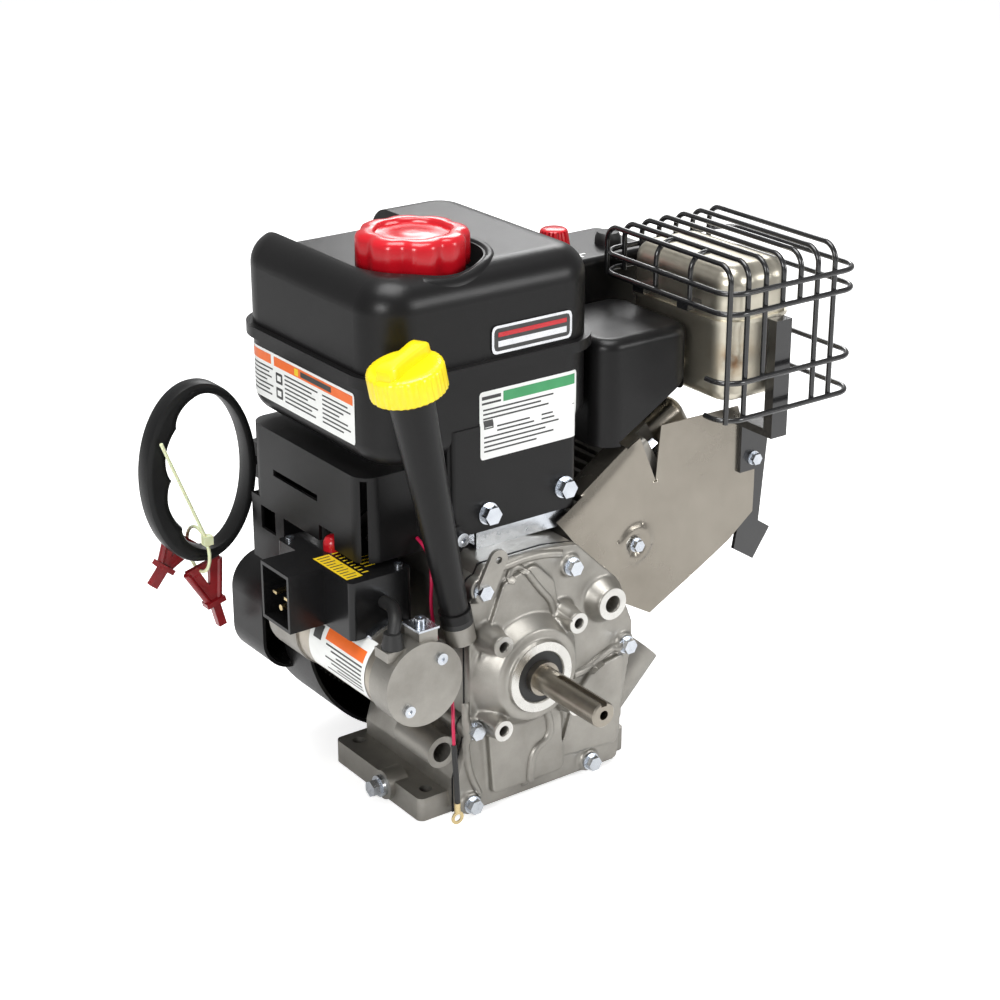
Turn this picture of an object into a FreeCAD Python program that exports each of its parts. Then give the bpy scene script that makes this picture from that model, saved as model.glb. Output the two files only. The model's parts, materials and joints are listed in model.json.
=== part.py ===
import FreeCAD, Part
import math
import os

# Small single-cylinder gasoline engine with a horizontal crankshaft, millimetres.
# Origin: middle of the four base holes in Y, under the crankshaft, on the base's underside.
# +X is the cylinder and muffler side, -Y the output shaft side, +Y the recoil starter side, +Z up.

# ---- driving dimensions: block and crankshaft ----
crank_z = 106.0
pto_face_y = -91.0
cover_joint_y = -62.0
cover_plate = 7.0
gasket = 1.0
block_back_y = 50.0
block_left = -46.5
block_wall = 6.0
base_thick = 18.0
base_x0 = -81.0
base_x1 = 105.0
base_half_y = 56.5
base_hole_r = 4.75
base_pitch_x = 162.0
base_pitch_y = 88.9
base_hole_x = 13.0
shaft_r = 9.525
shaft_length = 70.2
keyway_w = 4.76
keyway_depth = 3.0
shaft_thread_r = 3.45
pto_bolt_pcd = 92.08
pto_bolt_r = 3.97
pto_boss_r = 8.0
hub_ring_r = 26.75
journal_r = 12.5
run_gap = 0.05
bearing_r = 26.0
bearing_width = 15.0
seal_width = 6.0
throw = 26.0
crankpin_r = 9.0
big_end_wall = 4.0
rod_bolt_x = 15.0
rod_bolt_r = 3.0
web_r = 39.5
web_width = 14.0
rod_width = 22.0
stroke_gap = 0.5

# ---- driving dimensions: cylinder, measured along its own axis from the crankshaft ----
cylinder_tilt = 30.0
bore_r = 34.0
sleeve_wall = 3.0
barrel_wall = 6.0
rod_length = 107.0
pin_to_crown = 24.0
head_gasket = 1.2
head_height = 32.0
cover_height = 36.0
fin_half_x = 54.0
fin_half_y = 46.0
fin_thick = 2.4
fin_pitch = 8.0
fin_start = 98.0
head_bolt_x = 40.0
plug_seat = 42.0
cover_half_y = 29.5
head_bolt_y = 40.0
valve_offset = 15.0
tip_gap = 0.8
valve_stem_r = 2.75
valve_head_r = 13.0
pushrod_x = 47.5
pushrod_r = 2.5
pushrod_hole_r = 3.6

# ---- driving dimensions: camshaft, flywheel and recoil starter ----
cam_x = 18.0
cam_z = 52.0
cam_base_r = 12.0
gear_y0 = -60.0
gear_width = 8.0
crank_teeth = 20
flywheel_y0 = 90.0
magnet_rim_r = 66.0
flywheel_y1 = 104.0
ring_teeth = 100
pinion_teeth = 12
ring_width = 8.0
starter_x = -91.0
starter_z = 123.0
fan_height = 11.0
housing_r = 100.0
housing_y0 = 60.0
housing_y1 = 120.0
housing_wall = 2.5
recoil_r = 82.0
recoil_y1 = 146.0
pulley_r = 45.0
pulley_y0 = 130.0
pulley_width = 13.0
handle_y = 137.0
rope_z = 218.0
rope_r = 2.5

# ---- driving dimensions: electric starter and switch box ----
motor_r = 29.5
motor_y0 = -58.0
motor_y1 = 38.0
end_cap_r = 31.0
end_cap_y0 = -80.0
drive_y1 = 88.0
pinion_width = 10.0
pinion_travel = 17.0
box_x0 = -122.0
box_x1 = -72.0
box_y0 = -38.0
box_y1 = 59.0
button_x = -99.0
button_y = 21.0
box_z0 = 147.0
box_z1 = 190.0
inlet_x0 = -150.0
inlet_y0 = -3.0
inlet_y1 = 34.0

# ---- driving dimensions: fuel tank ----
tank_x0 = -105.0
tank_x1 = 90.0
tank_y0 = -50.0
tank_y1 = 146.0
rim_z0 = 322.0
rim_z1 = 330.0
rim_out = 5.0
tank_top_z = 394.0
tank_low_z = 264.0
tank_wall = 3.0
tank_corner_r = 30.0
recess_r = 48.0
recess_z = 376.0
cap_x = -33.0
cap_y = 14.0
cap_r = 39.5
cap_z0 = 387.0
cap_z1 = 412.0
neck_r = 29.0
apron_x0 = -45.0
apron_x1 = 64.0
apron_z0 = 206.0

# ---- driving dimensions: oil fill tube ----
fill_foot = (-56.0, -68.5, 155.5)
fill_top = (-97.0, -72.0, 346.0)
fill_foot_r = 9.5
fill_boss_r = 11.0
fill_top_r = 16.0
fill_wall = 2.5
ear_x = -42.5
ear_z = 209.5
yellow_cap_r = 26.0
yellow_cap_h = 19.0
stick_length = 180.0

# ---- driving dimensions: carburetor hood, muffler and guard ----
hood_x0 = 86.0
hood_x1 = 170.0
hood_y0 = -47.0
hood_y1 = 42.0
hood_z0 = 242.0
hood_z1 = 322.0
panel_x0 = 90.0
panel_x1 = 214.0
panel_y0 = 51.0
panel_y1 = 122.0
panel_z0 = 290.0
panel_z1 = 350.0
choke_x = 124.0
choke_y = 62.0
primer_x = 188.0
primer_y = 78.0
muffler_x0 = 174.0
muffler_x1 = 238.0
muffler_y0 = -76.0
muffler_y1 = 36.0
muffler_z0 = 266.0
muffler_seam_z = 328.0
muffler_z1 = 366.0
muffler_corner_r = 16.0
guard_x0 = 158.0
guard_x1 = 284.0
guard_y0 = -96.0
guard_y1 = 48.0
guard_top_z = 376.0
guard_wire_r = 2.0
guard_corner_r = 16.0
guard_levels = (356.0, 341.0, 290.0, 262.0)
shield_y = -50.0
shield_thick = 1.2

# ---- ground lead: a free wire, its route from the housing to the terminal ----
lead_r = 1.25
lead_route = ((-60.0, -26.4, 205.0), (-60.0, -42.0, 200.0), (-60.5, -45.0, 180.0), (-60.0, -42.0, 160.0),
              (-57.0, -42.0, 139.0), (-56.0, -52.0, 118.0), (-58.5, -66.0, 98.0), (-66.0, -77.0, 77.0),
              (-67.5, -81.0, 56.0), (-66.0, -81.0, 37.0), (-65.0, -80.0, 22.0))

X_DIR = FreeCAD.Vector(1, 0, 0)
Y_DIR = FreeCAD.Vector(0, 1, 0)
Z_DIR = FreeCAD.Vector(0, 0, 1)

# ---- worked-out sizes ----
deck = throw + rod_length + pin_to_crown + stroke_gap
big_end_reach = throw + crankpin_r + big_end_wall
pin_s = throw + rod_length
head_s0 = deck + head_gasket
head_s1 = head_s0 + head_height
cover_s1 = head_s1 + cover_height
stem_top = head_s1 + 16.0
pto_bolt_half = pto_bolt_pcd / 2 / math.sqrt(2)
shaft_end_y = pto_face_y - shaft_length
cover_front_y = cover_joint_y - cover_plate
block_front_y = cover_joint_y + gasket
crank_gear_pitch_r = math.hypot(cam_x, cam_z - crank_z) / 3
gear_module = 2 * crank_gear_pitch_r / crank_teeth
ring_module = 2 * math.hypot(starter_x, starter_z - crank_z) / (ring_teeth + pinion_teeth)
ring_pitch_r = ring_module * ring_teeth / 2
pinion_pitch_r = ring_module * pinion_teeth / 2


def vec(x, y, z):
    return FreeCAD.Vector(x, y, z)


def box(x0, x1, y0, y1, z0, z1):
    return Part.makeBox(x1 - x0, y1 - y0, z1 - z0, vec(x0, y0, z0))


def rod_y(x, z, r, y0, y1):
    return Part.makeCylinder(r, y1 - y0, vec(x, y0, z), Y_DIR)


def rod_z(x, y, r, z0, z1):
    return Part.makeCylinder(r, z1 - z0, vec(x, y, z0), Z_DIR)


def rod_x(y, z, r, x0, x1):
    return Part.makeCylinder(r, x1 - x0, vec(x0, y, z), X_DIR)


def rod_between(start, end, r):
    span = end.sub(start)
    return Part.makeCylinder(r, span.Length, start, span)


def prism(points, y0, y1):
    """Closed outline given as (x, z) points, pushed from y0 to y1."""
    ring = [vec(x, y0, z) for x, z in points]
    face = Part.Face(Part.makePolygon(ring + [ring[0]]))
    return face.extrude(vec(0, y1 - y0, 0))


def edges_along(shape, direction):
    """Straight edges of the shape that run along a direction."""
    found = []
    for edge in shape.Edges:
        if isinstance(edge.Curve, Part.Line):
            run = edge.Vertexes[1].Point.sub(edge.Vertexes[0].Point)
            if run.Length > 0.01 and abs(run.normalize().dot(direction)) > 0.999:
                found.append(edge)
    return found


def round_along(shape, direction, radius):
    return shape.makeFillet(radius, edges_along(shape, direction))


def edges_at_z(shape, z):
    """Edges that lie wholly at one height."""
    found = []
    for edge in shape.Edges:
        bounds = edge.BoundBox
        if abs(bounds.ZMin - z) < 0.01 and abs(bounds.ZMax - z) < 0.01:
            found.append(edge)
    return found


def rounded_box(x0, x1, y0, y1, z0, z1, corner_r, top_r):
    """Box with rounded upright corners and a rounded top edge."""
    body = round_along(box(x0, x1, y0, y1, z0, z1), Z_DIR, corner_r)
    return body.makeFillet(top_r, edges_at_z(body, z1))


def fuse(shapes):
    joined = shapes[0].multiFuse(shapes[1:])
    return joined.removeSplitter()


def cut(shape, tools):
    return shape.cut(Part.makeCompound(tools)) if len(tools) > 1 else shape.cut(tools[0])


def hex_prism(base, axis, across_flats, height):
    """Hexagon standing on base, pointing along axis."""
    corner_r = across_flats / math.sqrt(3)
    ring = [vec(corner_r * math.cos(math.radians(60 * k)), corner_r * math.sin(math.radians(60 * k)), 0)
            for k in range(7)]
    solid = Part.Face(Part.makePolygon(ring)).extrude(vec(0, 0, height))
    solid.Placement = FreeCAD.Placement(base, FreeCAD.Rotation(Z_DIR, axis))
    return solid


def flange_bolt(seat, axis, across_flats, shank_r, shank_length):
    """Hex bolt with a washer flange; seat is where the flange meets the work, axis points out."""
    flange = Part.makeCylinder(across_flats * 0.68, 1.5, seat, axis)
    head = hex_prism(seat + axis * 1.5, axis, across_flats, across_flats * 0.55)
    shank = Part.makeCylinder(shank_r, shank_length, seat, axis * -1)
    return fuse([flange, head, shank])


def pan_screw(seat, axis, head_r, head_height, shank_r, shank_length):
    """Cross-recessed pan-head screw."""
    head = Part.makeCylinder(head_r, head_height, seat, axis)
    shank = Part.makeCylinder(shank_r, shank_length, seat, axis * -1)
    recess = hex_prism(seat + axis * (head_height - 1.2), axis, head_r * 0.7, 1.2)
    return head.fuse(shank).cut(recess)


def gear_outline(teeth, module, phase):
    """Trapezoid-toothed gear outline round the origin, as (x, z) points."""
    pitch_r = module * teeth / 2
    root_r = pitch_r - 1.2 * module
    tip_r = pitch_r + 0.85 * module
    step = 2 * math.pi / teeth
    points = []
    for k in range(teeth):
        middle = phase + k * step
        for radius, offset in ((root_r, -0.31), (tip_r, -0.11), (tip_r, 0.11), (root_r, 0.31)):
            angle = middle + offset * step
            points.append((radius * math.cos(angle), radius * math.sin(angle)))
    return points


def mesh_phase(x1, z1, teeth1, phase1, x2, z2, teeth2):
    """Phase that puts a tooth gap of gear 2 opposite the teeth of gear 1."""
    line = math.atan2(z2 - z1, x2 - x1)
    offset = (line - phase1) % (2 * math.pi / teeth1)
    return line + math.pi + offset * teeth1 / teeth2 + math.pi / teeth2


def gear(x, z, y0, y1, teeth, module, phase):
    outline = [(x + u, z + w) for u, w in gear_outline(teeth, module, phase)]
    return prism(outline, y0, y1)


def on_cylinder_axis(shape):
    """Turn a piece built along +Z so that it stands on the tilted cylinder axis."""
    turned = shape.copy()
    turn = FreeCAD.Rotation(Y_DIR, 90 - cylinder_tilt)
    turned.Placement = FreeCAD.Placement(vec(0, 0, crank_z), turn).multiply(turned.Placement)
    return turned


def cylinder_point(x, y, s):
    """World place of a point given across (x, y) and along (s) the cylinder axis."""
    tilt = math.radians(cylinder_tilt)
    return vec(s * math.cos(tilt) + x * math.sin(tilt), y, crank_z + s * math.sin(tilt) - x * math.cos(tilt))


def route_wire(points):
    """Straight runs joined by tangent arcs; also prints the smallest arc radius."""
    edges = []
    radii = []
    here = points[0]
    for k in range(1, len(points) - 1):
        before = points[k].sub(points[k - 1])
        after = points[k + 1].sub(points[k])
        half_turn = before.getAngle(after) / 2
        reach = 0.45 * min(before.Length, after.Length)
        radii.append(reach / math.tan(half_turn))
        start = points[k].sub(before.normalize() * reach)
        end = points[k].add(after.normalize() * reach)
        towards = start.add(end).multiply(0.5).sub(points[k])
        sagitta = radii[-1] / math.cos(half_turn) - radii[-1]
        middle = points[k].add(towards.normalize() * sagitta)
        edges.append(Part.LineSegment(here, start).toShape())
        edges.append(Part.Arc(start, middle, end).toShape())
        here = end
    edges.append(Part.LineSegment(here, points[-1]).toShape())
    return Part.Wire(edges), radii


def tube_along(points, r, label):
    path, radii = route_wire(points)
    start_dir = points[1].sub(points[0])
    profile = Part.Wire([Part.makeCircle(r, points[0], start_dir)])
    solid = path.makePipeShell([profile], True, False)
    print(label, "length", round(path.Length, 1), "radii", [round(k, 1) for k in radii],
          "volume ratio", round(solid.Volume / (math.pi * r * r * path.Length), 4))
    return solid


# ---------------------------------------------------------------- block

def block_outline(inset):
    """Outer outline of crankcase and cover seen along Y, or the same shrunk by inset."""
    low = 3.0 + inset
    left = -57.0 + inset
    right = 99.0 - inset
    top = 192.0 - inset
    wall = block_left + inset
    return [(left, low), (88.0 - inset, low), (92.0 - inset, 52.0), (right, 92.0), (right + 1.0, 112.0),
            (84.0 - inset, 152.0 - inset / 2), (47.0 - inset / 2, 188.0 - inset), (20.0, top),
            (-34.0 + inset / 2, top), (wall, 168.0 - inset / 2), (wall, 66.0), (left, 30.0)]


def bolt_places():
    """Cover bolt centres as (x, z)."""
    return [(-47.0, 11.0), (60.0, 11.0), (91.0, 98.0), (40.0, 174.0), (-38.0, 176.0), (-45.0, 70.0)]


def build_crankcase():
    body = round_along(prism(block_outline(0), block_front_y, block_back_y), Y_DIR, 6.0)
    cavity = prism(block_outline(block_wall), block_front_y - 1, block_back_y - 2 * block_wall)
    base = round_along(box(base_x0, base_x1, -base_half_y, base_half_y, 0, base_thick), Z_DIR, 5.0)
    barrel = on_cylinder_axis(rod_z(0, 0, bore_r + sleeve_wall + barrel_wall, 60, deck))
    fins = []
    s = fin_start
    while s < deck - fin_thick:
        fins.append(on_cylinder_axis(box(-fin_half_x, fin_half_x, -fin_half_y, fin_half_y, s, s + fin_thick)))
        s += fin_pitch
    deck_plate = on_cylinder_axis(box(-fin_half_x, fin_half_x, -fin_half_y, fin_half_y, deck - 6, deck))
    foot = vec(*fill_foot)
    fill_dir = vec(*fill_top).sub(foot).normalize()
    fill_boss = Part.makeCylinder(fill_boss_r, 14.0, foot.sub(fill_dir * 14.0), fill_dir)
    angled_at = vec(88.0, -42.0, 34.0)
    fill_web = box(foot.x - 5, block_left + 4, block_front_y, block_front_y + 8, foot.z - 16, foot.z - 2)
    side_boss = rod_y(-66.0, 55.0, 12.0, block_front_y - 2, -20.0)
    side_web = box(-66.0, -48.0, block_front_y + 4, -22.0, 46.0, 62.0)
    angled = Part.makeCylinder(16.0, 58.0, angled_at, vec(1, 0, 1))
    drain_pad = rod_x(-14.0, 12.5, 11.0, base_x0 - 4, base_x0 + 12)
    hub = rod_y(0, crank_z, bearing_r + 8, block_back_y - 2 * block_wall, block_back_y + 4)
    cam_boss = rod_y(cam_x, cam_z, 14.0, block_back_y - 2 * block_wall - 10, block_back_y - 4)
    shell = body.cut(cavity)
    columns = [on_cylinder_axis(rod_z(sx * head_bolt_x, sy * head_bolt_y, 6.0, deck - 34, deck))
               for sx in (-1, 1) for sy in (-1, 1)]
    lugs = [rod_y(x, z, 8.5, block_front_y, block_front_y + 20) for x, z in bolt_places()]
    solid = fuse([shell, base, barrel, fill_boss, fill_web, side_boss, side_web, angled, drain_pad, hub,
                  cam_boss, deck_plate] + fins + columns)
    keep_inside = prism(block_outline(block_wall), block_front_y - 20, block_back_y - 2 * block_wall - 11)
    cylinder_bore = on_cylinder_axis(rod_z(0, 0, bore_r + sleeve_wall, 40, deck + 1))
    holes = [keep_inside.common(box(-90, 120, block_front_y - 20, block_back_y, base_thick, 200)),
             cylinder_bore,
             rod_y(0, crank_z, bearing_r, block_back_y - bearing_width, block_back_y + 5),
             rod_y(cam_x, cam_z, 7.0 + run_gap, block_back_y - 2 * block_wall - 11, block_back_y - 8),
             rod_y(-66.0, 55.0, 7.5, block_front_y - 3, -30.0),
             Part.makeCylinder(8.2, 16.0, foot.sub(fill_dir * 12.0), fill_dir),
             rod_y(cam_x, cam_z, 2 * crank_gear_pitch_r + 4, gear_y0 - 1, gear_y0 + gear_width + 1),
             Part.makeCylinder(10.0, 20.0, angled_at + vec(1, 0, 1).normalize() * 40, vec(1, 0, 1)),
             rod_x(-14.0, 12.5, 6.5, base_x0 - 5, base_x0 + 10),
             rod_y(0, crank_z, journal_r + 2, block_back_y - 20, block_back_y + 5)]
    for sx in (-1, 1):
        for sy in (-1, 1):
            holes.append(rod_z(base_hole_x + sx * base_pitch_x / 2, sy * base_pitch_y / 2, base_hole_r,
                               -1, base_thick + 1))
            holes.append(on_cylinder_axis(rod_z(sx * head_bolt_x, sy * head_bolt_y, 4.0, deck - 30,
                                                deck + 1)))
    for sy in (-1, 1):
        holes.append(on_cylinder_axis(rod_z(pushrod_x, sy * valve_offset, pushrod_hole_r, 20, deck + 1)))
    block = fuse([cut(solid, holes)] + lugs)
    return cut(block, [rod_y(x, z, 3.2, block_front_y - 1, block_front_y + 18) for x, z in bolt_places()])


def build_cover_gasket():
    ring = prism(block_outline(0), cover_joint_y, block_front_y)
    ring = ring.cut(prism(block_outline(block_wall), cover_joint_y - 1, block_front_y + 1))
    pads = [rod_y(x, z, 8.5, cover_joint_y, block_front_y) for x, z in bolt_places()]
    ring = fuse([ring] + pads).cut(fill_notch())
    return cut(ring, [rod_y(x, z, 3.4, cover_joint_y - 1, block_front_y + 1) for x, z in bolt_places()])


def fill_notch():
    """Room left in the cover's edge for the oil filler boss and tube."""
    foot = vec(*fill_foot)
    along = vec(*fill_top).sub(foot).normalize()
    return Part.makeCylinder(fill_boss_r + 1.2, 60.0, foot.sub(along * 16.0), along)


def build_side_cover():
    plate = round_along(prism(block_outline(0), cover_front_y, cover_joint_y), Y_DIR, 6.0)
    dome = Part.makeCone(46.0, 34.0, cover_front_y - pto_face_y - 4, vec(0, cover_front_y, crank_z),
                         Y_DIR * -1)
    ring = rod_y(0, crank_z, hub_ring_r, pto_face_y, cover_front_y)
    parts = [plate, dome, ring]
    holes = [rod_y(0, crank_z, bearing_r, cover_joint_y - bearing_width, cover_joint_y + 1),
             rod_y(0, crank_z, 19.0, pto_face_y - 1, pto_face_y + seal_width + 1),
             rod_y(0, crank_z, journal_r + 2, pto_face_y - 1, cover_joint_y)]
    for sx in (-1, 1):
        for sz in (-1, 1):
            x = sx * pto_bolt_half
            z = crank_z + sz * pto_bolt_half
            parts.append(Part.makeCone(11.5, pto_boss_r, cover_front_y - pto_face_y - 5,
                                       vec(x, cover_front_y, z), Y_DIR * -1))
            parts.append(rod_y(x, z, pto_boss_r, pto_face_y, cover_front_y))
            holes.append(rod_y(x, z, pto_bolt_r, pto_face_y - 1, pto_face_y + 22))
    parts.append(Part.makeCone(18.0, 12.5, 10.0, vec(71.0, cover_front_y, 139.0), Y_DIR * -1))
    parts.append(rod_y(71.0, 139.0, 12.5, cover_front_y - 12, cover_front_y))
    holes.append(rod_y(71.0, 139.0, 6.4, cover_front_y - 13, cover_joint_y - 1))
    for x, z in bolt_places():
        parts.append(rod_y(x, z, 8.5, cover_front_y - 3, cover_joint_y))
        holes.append(rod_y(x, z, 3.4, cover_front_y - 4, cover_joint_y + 1))
        holes.append(rod_y(x, z, 8.0, cover_front_y - 20, cover_front_y - 3))
    raised = prism([(-42, 120), (-20, 176), (8, 184), (24, 168), (30, 138), (0, 106)],
                   cover_front_y - 5, cover_front_y)
    parts.append(round_along(raised, Y_DIR, 6.0))
    sump = prism([(-30, 14), (34, 14), (30, 60), (0, 106), (-34, 66)], cover_front_y - 6, cover_front_y)
    parts.append(round_along(sump, Y_DIR, 5.0))
    side = prism([(30, 24), (84, 20), (88, 62), (90, 92), (62, 88), (44, 70)],
                 cover_front_y - 5, cover_front_y)
    parts.append(round_along(side, Y_DIR, 5.0))
    parts.append(rod_y(cam_x, cam_z, 16.0, cover_front_y - 4, cover_front_y))
    holes.append(rod_y(cam_x, cam_z, 7.0 + run_gap, cover_front_y + 1, cover_joint_y + 1))
    return cut(fuse(parts), holes + [fill_notch()])


def build_cover_bolts():
    seat_y = cover_front_y - 3
    return Part.makeCompound([flange_bolt(vec(x, seat_y, z), Y_DIR * -1, 10.0, 3.0, cover_plate + 14)
                              for x, z in bolt_places()])


def build_bearings_and_seals():
    bearings = []
    for y0 in (cover_joint_y - bearing_width, block_back_y - bearing_width):
        bearings.append(rod_y(0, crank_z, bearing_r, y0, y0 + bearing_width).cut(
            rod_y(0, crank_z, journal_r + run_gap, y0 - 1, y0 + bearing_width + 1)))
    front = rod_y(0, crank_z, 19.0, pto_face_y + 1, pto_face_y + 1 + seal_width)
    front = front.cut(rod_y(0, crank_z, journal_r + run_gap, pto_face_y, pto_face_y + 8))
    back = rod_y(0, crank_z, bearing_r, block_back_y, block_back_y + 4)
    back = back.cut(rod_y(0, crank_z, journal_r + run_gap, block_back_y - 1, block_back_y + 5))
    return {"main_bearings": Part.makeCompound(bearings), "oil_seals": Part.makeCompound([front, back])}


def build_drain_plug():
    stem = rod_x(-14.0, 12.5, 6.5, base_x0 - 4, base_x0 + 8)
    collar = rod_x(-14.0, 12.5, 8.0, base_x0 - 8, base_x0 - 4)
    head = hex_prism(vec(base_x0 - 15, -14.0, 12.5), X_DIR, 11.0, 7.0)
    return fuse([stem, collar, head])


# ---------------------------------------------------------------- moving works

def build_crankshaft():
    half_rod = rod_width / 2 + run_gap
    pin = cylinder_point(0, 0, throw)
    pieces = [rod_y(0, crank_z, shaft_r, shaft_end_y + 1, pto_face_y),
              Part.makeCone(shaft_r - 1, shaft_r, 1, vec(0, shaft_end_y, crank_z), Y_DIR),
              rod_y(0, crank_z, journal_r, pto_face_y - 4, -half_rod),
              rod_y(0, crank_z, journal_r, half_rod, block_back_y + 8),
              Part.makeCone(journal_r, 9.0, 40.0, vec(0, block_back_y + 8, crank_z), Y_DIR),
              rod_y(0, crank_z, 8.0, block_back_y + 48, 116.0),
              rod_y(pin.x, pin.z, crankpin_r, -half_rod, half_rod)]
    for y0 in (-half_rod - web_width, half_rod):
        web = rod_y(0, crank_z, web_r, y0, y0 + web_width)
        flank = on_cylinder_axis(box(-60, -20, y0 - 1, y0 + web_width + 1, -4, 60))
        other = on_cylinder_axis(box(20, 60, y0 - 1, y0 + web_width + 1, -4, 60))
        pieces.append(cut(web, [flank, other]))
    pieces.append(gear(0, crank_z, gear_y0, gear_y0 + gear_width, crank_teeth, gear_module, 0.0))
    shaft = fuse(pieces)
    keyway = box(-keyway_w / 2, keyway_w / 2, shaft_end_y - 1, shaft_end_y + 50,
                 crank_z + shaft_r - keyway_depth, crank_z + shaft_r + 1)
    thread = rod_y(0, crank_z, shaft_thread_r, shaft_end_y - 1, shaft_end_y + 25)
    return cut(shaft, [keyway, thread])


def build_big_end():
    """Big end of the connecting rod with its two bolts, parted from the shank so that the crank can turn."""
    half = rod_width / 2
    eye = rod_y(0, throw, crankpin_r + big_end_wall, -half, half)
    lugs = box(-rod_bolt_x - 4.5, rod_bolt_x + 4.5, -half + 2, half - 2, throw - 5, throw + 5)
    bolts = [rod_z(side * rod_bolt_x, 0, rod_bolt_r, throw - 7, throw + 7) for side in (-1, 1)]
    eye = cut(fuse([eye, lugs]), [rod_y(0, throw, crankpin_r + run_gap, -half - 1, half + 1)] + bolts)
    return on_cylinder_axis(Part.makeCompound([eye] + bolts))


def build_camshaft():
    phase = mesh_phase(0, crank_z, crank_teeth, 0.0, cam_x, cam_z, 2 * crank_teeth)
    body = [rod_y(cam_x, cam_z, 7.0, cover_front_y + 2, block_back_y - 9),
            gear(cam_x, cam_z, gear_y0, gear_y0 + gear_width, 2 * crank_teeth, gear_module, phase)]
    for y, lobe_angle in ((-valve_offset, 228.0), (valve_offset, 300.0)):
        angle = math.radians(lobe_angle)
        base = rod_y(cam_x, cam_z, cam_base_r, y - 6, y + 6)
        nose = rod_y(cam_x + 7 * math.cos(angle), cam_z + 7 * math.sin(angle), 8.0, y - 6, y + 6)
        body.extend([base, nose])
    return fuse(body)


def build_piston_group():
    crown = deck - stroke_gap
    piston = rod_z(0, 0, bore_r - run_gap, pin_s - 18, crown)
    piston = cut(piston, [rod_z(0, 0, bore_r - 5, pin_s - 19, crown - 6),
                          rod_y(0, pin_s, 8.0, -40, 40)])
    grooves = []
    rings = []
    for k in range(3):
        s = crown - 6 - 5 * k
        groove = rod_z(0, 0, bore_r + 1, s - 2, s).cut(rod_z(0, 0, bore_r - 3.5, s - 3, s + 1))
        ring = rod_z(0, 0, bore_r - run_gap, s - 2, s).cut(rod_z(0, 0, bore_r - 3.5, s - 3, s + 1))
        grooves.append(groove)
        rings.append(ring)
    boss = rod_y(0, pin_s, 12.0, -bore_r + 6, bore_r - 6)
    boss = boss.common(rod_z(0, 0, bore_r - 5, pin_s - 18, crown - 5))
    boss = boss.cut(box(-20, 20, -rod_width / 2 - 1, rod_width / 2 + 1, pin_s - 20, pin_s + 20))
    piston = cut(piston.fuse(boss), grooves + [rod_y(0, pin_s, 8.0, -40, 40)])
    pin = rod_y(0, pin_s, 8.0, -bore_r + 4, bore_r - 4).cut(rod_y(0, pin_s, 4.5, -40, 40))
    small = rod_y(0, pin_s, 13.0, -rod_width / 2 + 2, rod_width / 2 - 2)
    shank = box(-7, 7, -5, 5, big_end_reach + 0.5, pin_s - 8)
    rod = cut(fuse([small, shank]), [rod_y(0, pin_s, 8.0, -20, 20)])
    return {"piston": on_cylinder_axis(piston), "piston_rings": on_cylinder_axis(Part.makeCompound(rings)),
            "wrist_pin": on_cylinder_axis(pin), "connecting_rod": on_cylinder_axis(rod)}


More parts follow.
